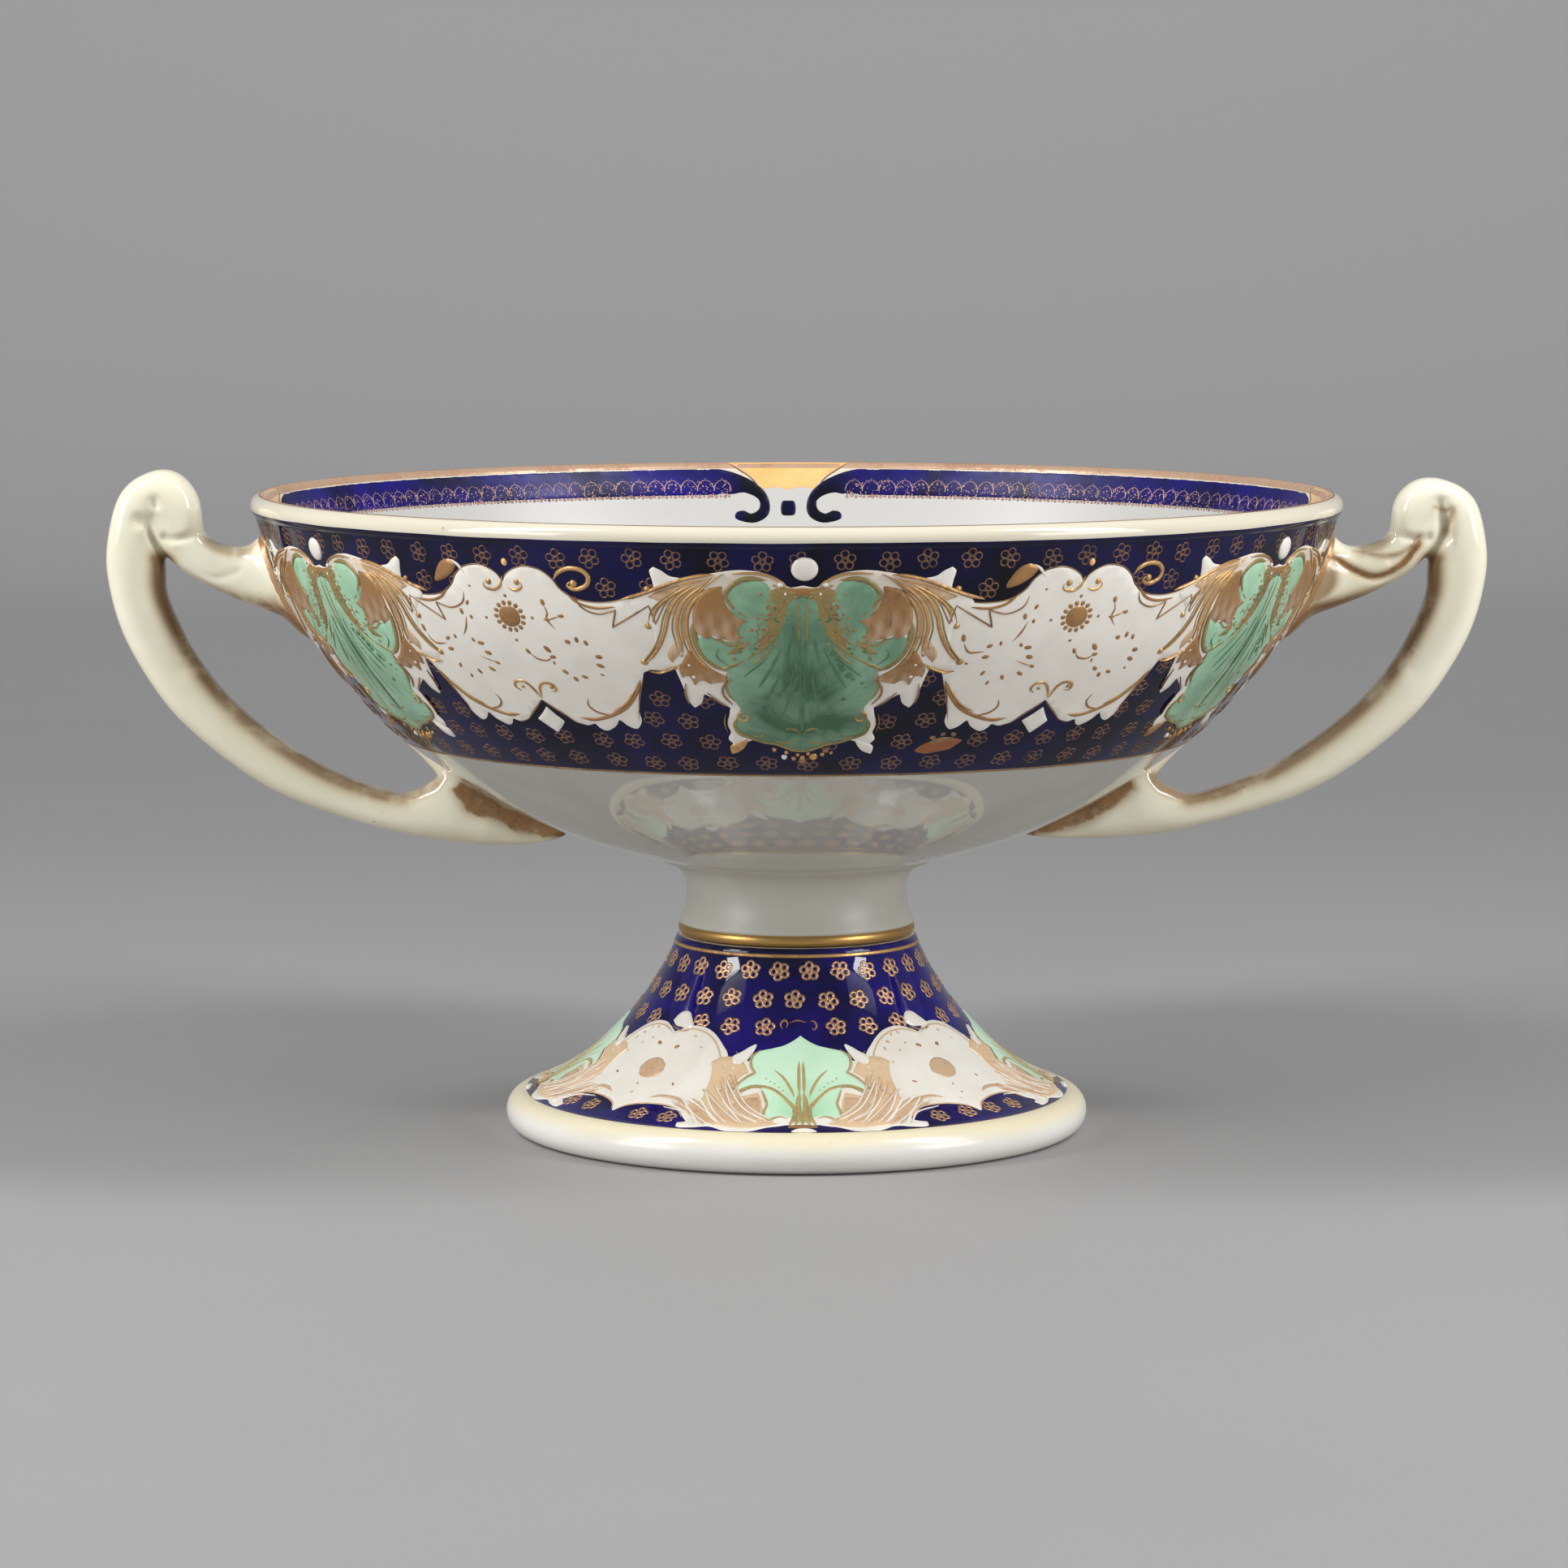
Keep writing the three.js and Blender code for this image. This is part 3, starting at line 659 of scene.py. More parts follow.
# The green shell and the white frame round it, from the shell's centre line. Points are (degrees across,
# mm down, 1 at a corner); "frame", "green" and "cap" are half outlines, lines have their width after them
shell = {
    "frame": [(0, 7.5, 1), (1.3, 7.9), (2, 6.6), (3, 5.3), (4.5, 4.4), (6.5, 4.1), (8.6, 4.7), (10.5, 5.5),
              (12.2, 6, 1), (13.2, 5.6), (14, 4.4), (14.8, 3.6, 1), (15.3, 4.6), (15.1, 6.8), (15, 8.4, 1),
              (17.6, 12), (16, 16), (15.6, 22), (16.6, 26.5), (16.4, 28.8, 1), (15.2, 28.9), (13.9, 27.8, 1),
              (13.6, 30.5), (13.3, 33.5), (13.1, 37), (12.4, 39.6, 1), (11.4, 38), (10.9, 35.4, 1),
              (9.8, 37), (8.3, 39.2, 1), (8.5, 41), (8.9, 44), (8.6, 46.6, 1), (9, 48.8), (8.1, 51, 1),
              (6.6, 49.6), (5, 48.6), (3.6, 49.6, 1), (2.6, 49.6), (1.6, 51), (0, 52.6, 1)],
    "green": [(0, 9, 1), (1.2, 9.8), (2.6, 9.6), (3.1, 8.6), (3.4, 7.2), (4.3, 6.3), (5.6, 6.5), (6.9, 8),
              (7.8, 10.4), (7.5, 12.8), (6.9, 15), (6.8, 17.6), (7.2, 20.4),
              (8.6, 20), (10.2, 18.8, 1), (11, 20.6), (10.9, 23.2), (10.2, 25.8), (9.2, 27.6),
              (8.1, 29), (8.2, 30.8), (8.6, 32.6), (8.4, 35), (7.6, 37.6), (7.2, 39.4), (7.7, 41.6),
              (8, 44.2), (7.4, 46.6), (6.4, 47.6, 1), (5.6, 48.6), (4.3, 49.4), (3, 49.8, 1), (2.2, 50.6),
              (1.2, 51.8), (0, 52.2, 1)],
    "leaves": [
        [(7.7, 7.4, 1), (9.4, 8.2), (10.6, 10.4), (11.2, 13.4), (11.3, 16.6), (10.9, 19), (9.6, 20.8, 1),
         (9.2, 19.6), (8.6, 20.4, 1), (7.9, 20.6), (6.9, 21.6, 1), (6.4, 20.2), (6.5, 18), (6.2, 16.9),
         (5.2, 15.6, 1), (6.6, 14.4), (7.4, 12.6), (7.8, 10.4), (7.9, 8.8)],
        [(11.9, 22.5, 1), (12.6, 25), (13.4, 28), (13.2, 31, 1), (12.4, 30.2), (11.9, 33.4, 1), (11, 31.4),
         (10.1, 32.4, 1), (9.2, 32), (8, 31.4, 1), (8.2, 29.8), (9.3, 28.2), (10.5, 26.2), (11.3, 24.2)],
    ],
    "curl": [(0.9, 8.4, 1), (2.2, 8), (3.4, 8.6), (3.4, 10.6), (3.2, 12), (4.2, 13.8), (4.6, 16),
             (5, 18.2), (5.8, 20), (7.2, 22), (8.4, 24.2, 1), (6.6, 24), (4.6, 22.4), (3.2, 20.4),
             (2.3, 18.4), (1.8, 16.4), (1.2, 14), (0.8, 11)],
    "cap": [(0, 7.9, 1), (1.2, 8), (2.4, 7.6), (2.6, 9), (1.7, 10.2), (0.9, 10.8), (0.5, 10), (0, 10.8, 1)],
    "wash": [(8.5, 5.4, 1), (11.5, 6.6), (14, 8.6), (16, 10.6, 1), (14.6, 11.6), (13.6, 13.6),
             (13, 17, 1), (13.2, 20), (14.4, 24), (14, 27, 1), (12.8, 24), (12, 20), (11.8, 15),
             (10.8, 10.6), (9.6, 8, 1)],
    "curlLine": [(1.8, 8.6), (2, 12), (2.8, 15), (3.8, 18.6), (5, 21.4), (7, 23.8)],
    "lightDots": [(12.1, 26.8, 0.5), (11.8, 30, 0.7), (1.7, 9.4, 0.5), (2.2, 7.4, 0.6)],
    "darks": [([(7, 15.2), (6.8, 18.5)], 0.45), ([(8.9, 12), (8.9, 18.6)], 0.5),
              ([(10.2, 12.5), (10.3, 18)], 0.4), ([(1.5, 9.6), (2.2, 12.4), (3, 15)], 0.5),
              ([(3.1, 16.8), (4.2, 19.8), (5.8, 22.6)], 0.45),
              ([(11.6, 26), (11.2, 30.4)], 0.45), ([(10.2, 28.6), (9.2, 30.6)], 0.4),
              ([(8.1, 28.8), (8.3, 31.2), (8.8, 33.4), (8.7, 35.6), (7.9, 38)], 0.5),
              ([(12.9, 32), (13.1, 35), (12.9, 38)], 0.4), ([(10.6, 34.6), (9.4, 37.2), (8.5, 38.6)], 0.35),
              ([(8.8, 40.4), (9.1, 43.4), (8.9, 46.2)], 0.4)],
    "sweeps": [
        ([(9.2, 8.2), (10.8, 11), (11.7, 14.5), (11.9, 18.5), (11.6, 22.5), (10.8, 26), (9.6, 28.4)], 1.2),
        ([(9.8, 7.6), (11.6, 10.6), (12.5, 14), (12.9, 17.6), (12.7, 21), (12.6, 24)], 1.1),
        ([(10.4, 7.4), (12.4, 10.4), (13.6, 14.4), (14.2, 18.4), (15, 22), (16.1, 25), (17, 26.6)], 1.1),
        ([(11, 7.6), (13.2, 10.2), (14.8, 13.2), (15.4, 16.4)], 1.0),
        ([(8.8, 5.2), (11, 6), (13, 7.2), (15, 8.9), (16.6, 10.2), (18.5, 11.2)], 1.0),
        ([(9.5, 6.4), (12, 7.4), (14, 8.8), (15.6, 10.4)], 0.6),
        ([(1.6, 7.9), (2.5, 6.4), (3.7, 5.3), (5.2, 4.9), (7, 5)], 0.7),
        ([(7.8, 5), (9, 6.6), (10.4, 9.6), (11, 13)], 0.5),
        ([(13, 26.6), (13.9, 27.9), (15.4, 29.2), (16.6, 28.9)], 0.8),
    ],
    "blobs": [(17, 26.5, 1.0), (15.9, 17.4, 0.9), (15.6, 8.8, 0.8), (13.7, 27.7, 0.7), (12.8, 24.4, 0.6)],
    "olives": [
        ([(11, 15.5), (11.2, 18.5), (11, 21.5), (10.4, 24.5), (9.4, 26.8), (8, 28.6)], 0.8),
        ([(3.6, 6.4), (5.4, 6.1), (6.6, 7), (7.6, 9.2), (7.4, 11.2), (6.6, 13.3), (5.4, 15.2)], 0.65),
        ([(6.3, 17.4), (6.7, 19.4), (6.5, 21.3), (7.6, 21.6), (8.6, 20.5), (9.8, 20)], 0.45),
        ([(7.5, 28.6), (7.6, 30.4), (8.3, 32.4), (8.1, 35), (7.3, 37.6)], 0.5),
        ([(4.6, 44.8), (4.3, 46), (5, 47.4), (6, 47.2), (6, 46.2)], 0.5),
        ([(0.2, 47.2), (0.6, 45.6), (1.6, 45), (2.5, 45.8), (2.4, 47), (1.6, 47.2)], 0.55),
        ([(0.3, 48.4), (1.4, 49.4), (2.8, 49), (3.6, 48), (4.8, 48.8)], 0.5),
        ([(7.3, 41.4), (7.9, 44.2), (7.5, 46.6), (6.4, 47.8), (4.6, 49.2), (3, 49.9), (1.2, 51.6),
          (0, 52.4)], 0.6),
    ],
    "spiral": (6.7, 41.6, 1.7, 250, 1.2, 0.6),
    "zigzag": [([(11.2, 6.6), (13.4, 10.6), (15.1, 16.8, 1), (15.6, 12.5, 1), (17.2, 14.6), (19.8, 17.9, 1),
                 (19.2, 13.8, 1), (21.2, 14.8), (22.9, 13.3), (23.4, 10.7)], 0.55)],
    "veins": [
        ([(1.2, 18), (1.4, 22.4), (2, 27), (2.8, 31.4), (3.7, 35)], 0.9),
        ([(1.9, 21), (3.2, 27), (4.8, 33)], 0.5), ([(0.9, 24), (1.2, 32), (1.9, 39), (2.6, 43)], 0.35),
        ([(0.12, 34), (0.05, 46)], 0.5),
        ([(2, 33), (3, 38), (4.4, 41.6)], 0.3), ([(3.6, 24.6), (5.6, 28.4), (7, 31)], 0.4),
        ([(8.6, 22), (9, 24.4), (7.8, 27)], 0.3), ([(0.3, 20), (0.2, 34)], 0.4),
    ],
    "ribs": [([(0.5, 10.4), (0.45, 14), (0.4, 21)], 0.4),
             ([(2.2, 17.8), (4, 22), (6.2, 25.6), (8.8, 28.2)], 0.8),
             ([(3, 21.6), (4.2, 24.6), (5.6, 27)], 0.5)],
    "blotches": [(1.9, 18.7, 0.6), (2.5, 19.6, 0.8), (3, 20.9, 0.7), (3.4, 22.4, 0.8), (3.6, 23.6, 0.7),
                 (4.4, 25.4, 0.9), (4.9, 26.4, 0.6), (5.9, 27.6, 0.7), (6.4, 28.8, 0.5), (4, 32.2, 0.6)],
    "drops": [(3, 52, 1.1), (0.1, 55.6, 1.2), (-1.2, 51.8, 0.8)],
    "goldDrops": [(1.5, 54.2, 1.3), (0.1, 54.4, 0.8), (-1, 54.8, 0.75), (2.6, 53.4, 0.7), (-1.9, 52.7, 0.65),
                  (0.8, 53.1, 0.6), (-0.5, 53.5, 0.55), (3.7, 52.8, 0.55), (-3.4, 51.8, 0.7)],
    "bead": (0.15, 4.0, 2.8, 0.8),
    "lastBead": (-2.2, 54.3, 0.85, 0.5),
    "tear": [(6.3, 48, 1), (7.4, 48.9), (8.9, 50.8), (8.9, 53.6, 1), (7.5, 52.4), (6.7, 50.2)],
}

# A white panel and what is drawn in it, from the panel's own centre line, in the same way
panel = {
    "white": [(0, 7.9, 1), (0.5, 6.3), (1.5, 5.0), (2.9, 4.4), (4.6, 5.1), (5.8, 7.0), (6.5, 9.1),
              (7.6, 10.9), (9.0, 11.8), (10.6, 12.0), (12.4, 11.6), (14.4, 10.2), (16.6, 8.4, 1),
              (17.6, 12), (17.4, 20), (16.4, 27), (14.2, 29.6, 1), (13.7, 32.5), (12.9, 36.4), (12.4, 41),
              (12.3, 44), (11.4, 46.4), (10.3, 45.8), (9.4, 43.9, 1), (8.7, 45.8), (7.3, 47.4), (6.4, 46.8),
              (5.9, 45.4, 1), (4.8, 46), (3.5, 45.2), (2.3, 42.9), (1.1, 40.8), (0, 38.8, 1)],
    "diamond": [(0.2, 40.4, 1), (1, 42.8), (1.9, 45, 1), (1.1, 46.8), (0, 48.8, 1), (-1.0, 46.8),
                (-2.1, 44.6, 1), (-0.9, 42.6)],
    "edges": [
        ([(0, 8.3), (0.4, 6.6), (1.5, 5.1), (2.9, 4.4), (4.6, 5.1), (5.8, 7.0), (6.5, 9.1), (7.7, 11),
          (9.2, 11.9), (11, 12.1), (13, 11.4), (15, 9.8)], 0.5),
        ([(0.1, 39.0), (1.1, 40.8), (2.3, 42.9), (3.6, 45), (5.2, 45.7)], 0.6),
        ([(13.9, 31), (12.9, 36.6), (12.1, 42), (11.8, 44.6)], 0.5),
    ],
    "scrolls": [  # the broad scroll inside the lower edge
        ([(13.6, 31.4), (12.4, 36), (10.8, 39.8), (8.6, 42.4), (6.2, 43.8), (4.2, 43.4)], 1.1),
        ([(6.4, 37.4), (6.1, 39.6), (7, 41.6), (8.8, 42.4)], 0.6),
        ([(7, 9.8), (8.4, 12.4), (10.2, 13.4), (12.4, 13)], 0.7),
    ],
    "glints": [([(12.6, 34.4), (11, 38.4), (9, 41)], 0.5)],
    "topCurl": [([(0.1, 6.6), (-0.3, 8.9), (-1.2, 10), (-2.3, 9.4), (-2.2, 7.9)], 0.95),
                ([(0.3, 9), (1.2, 10), (2.2, 9.2), (2.1, 7.8)], 0.95)],
    "topBalls": [(-1.7, 8.2, 0.95), (1.7, 8.1, 0.9)],
    "lowCurl": [([(0.2, 38.4), (-0.4, 35.2), (-1.2, 33.4), (-2.4, 33.5), (-2.7, 35.1),
                  (-1.9, 36.4)], 0.95),
                ([(0.2, 38.4), (0.6, 34.8), (1.5, 33.4), (2.6, 34), (2.6, 35.6), (1.7, 35.8)], 0.95)],
    "lowBalls": [(2.2, 34.6, 0.7), (-1.7, 34.8, 0.6)],
    "leafLeft": [(-5.2, 4.4, 1), (-6.4, 3.4), (-7.6, 4.4), (-8.5, 7), (-8.9, 9.2, 1), (-7.4, 8.4),
                 (-6, 6.6)],
    "stalkLeft": ([(-6, 3.6), (-5.2, 4.8), (-4.4, 7)], 0.9),
    "hookRight": ([(5.9, 7.4), (6.6, 5.6), (7.8, 4.6), (9.1, 4.9), (9.8, 6.4), (9.5, 8.3), (8.3, 9.3),
                   (7.4, 8.5), (7.8, 7.5)], 1.2),
    "hookBall": (8.1, 8, 1.0),
    "stems": [
        ([(-5.6, 16.6), (-6.2, 19.6), (-7, 21.8)], 0.45), ([(-12.4, 21.6), (-11.6, 24), (-9.8, 24)], 0.5),
        ([(1.2, 25), (1.8, 26.6), (3, 27), (3.9, 26)], 0.5),
        ([(4.3, 12.8), (4.6, 14.8), (4.4, 16.6), (5.2, 19)], 0.4), ([(4.4, 16.8), (6, 15.6)], 0.4),
        ([(-6, 26.6), (-3.6, 28.6)], 0.3),
    ],
    "medallion": (0, 16.2, 3.2), "petals": 14,
    "dots": [(0, 11.3, 0.6), (0, 22.0, 0.6), (-3.0, 16.7, 0.55), (2.7, 16.3, 0.6)],
    "dabs": [  # x, y, radius, stretch, angle
        (-6.1, 15.6, 0.6, 1.7, 80), (-5, 13.4, 0.5, 1.8, 120), (-5, 16.8, 0.5, 1.4, 90),
        (-12.5, 20.4, 0.65, 2.0, 80), (1.0, 24.8, 0.6, 1.8, 60), (3.5, 24, 0.75, 1.9, 50),
        (3.9, 26, 0.65, 1.5, 0), (4.3, 12.5, 0.65, 1.6, 80), (6.1, 15.6, 0.6, 1.6, 0),
        (4.4, 16.6, 0.5, 2.0, 10), (-4.2, 9.4, 0.35, 1.2, 0), (-11.6, 27, 0.4, 1.5, 40),
    ],
    "wreathLeft": [(-9.4, 22.6, 0.6, 1.6, 150), (-8.2, 22, 0.45, 1.7, 90), (-5.8, 22.6, 0.5, 1.6, 60),
                   (-4.9, 23.3, 0.7, 1.7, 0), (-4.4, 25.8, 0.75, 1.6, 20), (-3.7, 28.4, 0.55, 1.6, 30),
                   (-4.9, 30.3, 0.6, 2.1, 35), (-6.9, 31.2, 0.6, 1.7, 60), (-8.5, 32.6, 0.5, 1.6, 100),
                   (-9.4, 29.8, 0.55, 1.8, 120), (-9.6, 25.4, 0.7, 1.6, 170)],
    "wreathRight": [(6.2, 21.9, 0.7, 1.3, 20), (7.3, 21.3, 0.65, 1.5, 90), (8.3, 22, 0.6, 1.6, 70),
                    (9.4, 25.5, 0.75, 1.5, 10), (9.3, 27.9, 0.7, 1.9, 25), (7, 31.2, 0.6, 1.8, 20),
                    (5.8, 31.9, 0.7, 1.4, 60), (4.8, 30, 0.65, 1.7, 40), (3.8, 27.6, 0.4, 1.7, 90),
                    (9.2, 30.4, 0.35, 2, 30)],
    "bud": (0.6, 3.7, 1.0),
}

shellTurns = [0.5 + 60 * k for k in range(6)]
panelTurns = [30 + 60 * k for k in range(6)]
panelNudge = {0: -0.1, 5: -1.0}           # the two at the front stand a little unevenly

flute = {"depth": 0.15, "count": 26, "apexDrop": -6}


def fluted(x, y):                         # the shell's flutes fan out from a point over its top
    return flute["depth"] * (1 - np.cos(np.arctan2(x, y - flute["apexDrop"]) * flute["count"])) / 2


def shellShadeTone(x, y):                      # darker down the middle and towards the foot of the shell, partly the enamel's own shading and partly painted shade; the floor of 0.55 darkens the whole shell as painted shade
    x = np.abs(x)
    middle = np.exp(-(x / (2 + 0.2 * y)) ** 2) * np.clip((y - 8) / 12, 0, 1)
    low = np.clip((y - 26) / 14, 0, 1) * np.clip((50 - y) / 6, 0, 1)
    return 0.55 + 0.45 * np.clip(0.7 * middle + 0.9 * low * np.exp(-(x / 13) ** 2), 0, 1)


def sideShellShadeTone(x, y):                  # the shells between keep little of it: only the front and back shells carry the painted shade
    return 0.8 * shellShadeTone(x, y) - 0.3


def frameTopTone(x, y):                      # the white frame turns pinkish-beige in a band under its upper edge, fading towards its sides
    x = np.abs(x)
    return 0.55 * np.exp(-((y - 6.5) / 2.6) ** 2) * np.clip((13 - x / 2) / 3, 0, 1)


def leafPaling(x, y):                     # the gold of the leaves thins to pale streaks at their lower ends
    low = np.clip((y - np.where(y > 22, 27, 12.5)) / 7, 0, 1)
    return low * np.clip(0.45 + 0.35 * np.sin(2.2 * x + 0.3 * y) + 0.25 * np.sin(1.3 * x - 1.1 * y), 0, 1)


whites, greens, veins, washes, olives = Heap(), Heap(), Heap(), Heap(), Heap()
browns, golds, umbers, peaches = Heap(), Heap(), Heap(), Heap()

on = bowlOutside
edgeShades = [([(x + 0.5, y + 0.2) for x, y in pts], width) for pts, width in shell["sweeps"][:4]]
framePart = enamel(on, mirrored(shell["frame"]), 0.22, grid=2.0)
greenPart = enamel(on, mirrored(shell["green"]), 0.36, grid=1.2, relief=fluted)
bothSides = [                             # laid twice, the second time mirrored; heights in mm
    (washes, [enamel(on, shell["wash"], 0.3, bevel=0.3, grid=1.6)]),
    (olives, [enamel(on, shell["curl"], 0.46, bevel=0.4, grid=0.9)]),
    (whites, beads(on, shell["lightDots"], 0.2, 0.4)),
    (umbers, strokes(on, shell["darks"], 0.14, 0.42)),
    (browns, strokes(on, shell["sweeps"], 0.28, 0.16)),
    # over each brown sweep, a thin bright gold line along its middle, which is a painted glint
    (golds, strokes(on, shell["sweeps"], 0.12, 0.4, swell=0.5) + beads(on, shell["blobs"], 0.4, 0.1)),
    (olives, strokes(on, edgeShades, 0.16, 0.2, swell=0.4)),
    (umbers, strokes(on, shell["zigzag"], 0.2, 0.14, swell=0.8)),
    (olives, strokes(on, shell["ribs"], 0.1, 0.42, swell=1.2)),
    (olives, strokes(on, shell["olives"], 0.2, 0.3, swell=1.7)),
    (veins, strokes(on, shell["veins"], 0.1, 0.42, swell=1.4)),
]
blotches = beads(on, [(x + 0.6, y + 4, r * 1.2) for x, y, r in shell["blotches"]], 0.16, 0.4, sides=7)
capPart = enamel(on, mirrored(shell["cap"]), 0.44, bevel=0.4, grid=0.9)
leaves = [enamel(on, leaf, 0.5, bevel=0.45, grid=0.6) for leaf in shell["leaves"]]
spiral = curlPath(on, *shell["spiral"][:-1])
bothSides.append((golds, [stroke(on, spiral, shell["spiral"][-1], height=0.2, base=0.42)]))
mottle = {"dabs": 110, "seed": 5, "height": 0.14, "base": 0.42,
          "heaps": (umbers, olives, browns, veins, olives, browns)}
rand = random.Random(mottle["seed"])
line = splineThrough(shell["curlLine"], 0.25)
for k in range(mottle["dabs"]):           # the curl by the middle is mottled in gold, brown and green
    spot = rand.choice(line)
    dab = bead(on, spot.x + 0.3 + rand.gauss(0, 0.75), spot.y + rand.gauss(0, 1.2),
               rand.uniform(0.2, 0.55), mottle["height"], stretch=rand.uniform(1, 2),
               angle=rand.uniform(0, 180), sides=7, rings=2, base=mottle["base"])
    bothSides.append((mottle["heaps"][k % len(mottle["heaps"])], [dab]))
tearPart = enamel(on, shell["tear"], 0.5, bevel=0.5, grid=0.8)
for k, turn in enumerate(shellTurns):
    whites.lay(on, framePart, turn, tone=frameTopTone)
    # the front and back shells are darkened as painted shade, the shells between are left light
    greens.lay(on, greenPart, turn, tone=sideShellShadeTone if k % 3 else shellShadeTone)
    browns.lay(on, capPart, turn)
    whites.lay(on, bead(on, *shell["bead"], sides=24, rings=5), turn)
    whites.lay(on, bead(on, *shell["lastBead"]), turn)
    whites.lay(on, tearPart, turn)
    golds.lay(on, tearPart, turn, True)
    for part in blotches:
        veins.lay(on, part, turn)
    for part in beads(on, shell["drops"], 0.4, sides=12):
        umbers.lay(on, part, turn)
    for part in beads(on, shell["goldDrops"], 0.5, sides=12):
        golds.lay(on, part, turn)
    for flip in (False, True):
        for part in leaves:
            browns.lay(on, part, turn, flip, tone=leafPaling)
        for heap, parts in bothSides:
            for part in parts:
                heap.lay(on, part, turn, flip)

panelPart = enamel(on, mirrored(panel["white"]), 0.14, grid=2.2)
panelParts = [
    (whites, [enamel(on, panel["diamond"], 0.2, grid=1.2)] + strokes(on, [panel["stalkLeft"]], 0.4)),
    (browns, [enamel(on, panel["leafLeft"], 0.4, bevel=0.4, grid=0.9),
              bead(on, *panel["medallion"], 0.42, sides=22)]),
    (golds, strokes(on, panel["topCurl"] + panel["lowCurl"] + [panel["hookRight"]], 0.42)),
    (golds, beads(on, panel["topBalls"] + panel["lowBalls"] + [panel["hookBall"]], 0.5, sides=12)),
    (browns, strokes(on, panel["stems"], 0.14, 0.12, swell=1.3) + beads(on, panel["dots"], 0.3)),
    (browns, beads(on, [(x, y, r * 1.2, *more) for x, y, r, *more in
                        panel["dabs"] + panel["wreathLeft"] + panel["wreathRight"]], 0.3, sides=8)),
    (peaches, [bead(on, *panel["bud"], 0.4, stretch=0.8, sides=12)]),
]
midX, midY, midRadius = panel["medallion"]
for k in range(panel["petals"]):          # a ring of small petals round the medallion
    t = k / panel["petals"] * 2 * math.pi
    petal = bead(on, midX + 1.02 * midRadius * math.cos(t) / on["mmPerDegree"],
                 midY + 1.02 * midRadius * math.sin(t), 0.75, 0.16, stretch=1.2, angle=math.degrees(t),
                 sides=8, rings=2, base=0.1)
    panelParts.append((browns, [petal]))
panelSides = [(umbers, strokes(on, panel["edges"], 0.16, 0.06, swell=0.55)),
              (browns, strokes(on, panel["scrolls"], 0.2, 0.14)),
              (golds, strokes(on, panel["glints"], 0.12, 0.3))]
for k, turn in enumerate(panelTurns):
    turn += panelNudge.get(k, 0)
    whites.lay(on, panelPart, turn)
    for heap, parts in panelParts:
        for part in parts:
            heap.lay(on, part, turn)
    for flip in (False, True):
        for heap, parts in panelSides:
            for part in parts:
                heap.lay(on, part, turn, flip)

giltRing(umbers, on, cobalt["bowl"]["end"], cobalt["bowl"]["endRing"])

# One patch at the front where the florets ran together in the kiln
patch = {
    "field": [(14, 53.8, 1), (15.2, 50.8), (16.8, 49), (19.6, 48.2), (21.4, 48.8), (21.8, 50.6),
              (19.8, 52.2), (17, 53.8)],
    "smear": [(14.8, 52.8), (16.6, 52), (18.6, 51.2), (20.8, 49.9)],
    "over": [(16, 51), (17.6, 49.8), (19.6, 49)],
    "dabs": [(16.8, 48.8, 0.9, 1.3, 20), (18, 47.8, 0.8, 1.2, -10), (19.4, 48, 0.9, 1.3, 40)],
}
worn = Heap()
worn.lay(on, stroke(on, patch["smear"], 4.4, height=0.24, taper=3), 0)
umbers.lay(on, stroke(on, patch["over"], 2.2, height=0.2, taper=3), 0)
for part in beads(on, patch["dabs"], 0.16):
    umbers.lay(on, part, 0)

floret = {"petals": 5, "reach": 1.45, "petal": 0.85, "eye": 0.5, "height": 0.08, "facets": 8,
          "section": [(-0.5, -0.02), (0, 1.0), (0.5, -0.02), (0, -1.0)], "jitter": 0.35}


def floretPart(scale, line):              # a ring for each petal and one for the eye
    rings = [(0, 0, floret["eye"])]
    for k in range(floret["petals"]):
        t = math.radians(k * 360 / floret["petals"] - 90)
        rings.append((floret["reach"] * math.cos(t), floret["reach"] * math.sin(t), floret["petal"]))
    flat, lift, faces = [], [], []
    for cx, cy, radius in rings:
        faces += [[len(flat) + i for i in f] for f in tubeFaces(floret["facets"], len(floret["section"]))]
        for i in range(floret["facets"]):
            t = i / floret["facets"] * 2 * math.pi
            for across, up in floret["section"]:
                r = (radius + across * line) * scale
                flat.append((cx * scale + r * math.cos(t), cy * scale + r * math.sin(t)))
                lift.append(up * floret["height"] + cobalt["height"])
    return np.array(flat), np.array(lift), faces


def insideAny(shapes, x, y):
    spot = np.array([[x, y]])
    return any(insideOf(shape, spot)[0] for shape in shapes)


def fieldOf(surface, outlines):           # outlines with their turns, as flat polygons for one whole turn
    k = surface["mmPerDegree"]
    shapes = []
    for outline, turns in outlines:
        edge = asArray(cornered(toFlat(surface, outline), 1.5))
        for turn in turns:
            for wrap in (-360, 0, 360):
                shapes.append(edge + [(turn + wrap) * k, 0])
    return shapes


def strewFlorets(heap, surface, printing, shapes):
    rand = random.Random(printing["seed"])
    floretFlat, floretLift, floretFaces = floretPart(printing["scale"], printing["line"])
    k = surface["mmPerDegree"]
    for s, count, shift in printing["rows"]:
        r = np.interp(s, surface["run"], surface["path"][:, 0])
        squeeze = k / (r * math.pi / 180)  # keeps the floret round where the surface narrows
        for i in range(count):
            turn = (i + shift) * 360 / count + rand.uniform(-floret["jitter"], floret["jitter"])
            spot = s + rand.uniform(-floret["jitter"], floret["jitter"])
            if insideAny(shapes, turn * k, spot):
                continue
            t = rand.uniform(0, 2 * math.pi)
            spin = np.array([[math.cos(t), math.sin(t)], [-math.sin(t), math.cos(t)]])
            flat = (floretFlat @ spin) * [squeeze, 1] + [0, spot]
            heap.lay(surface, (flat, floretLift, floretFaces), turn)


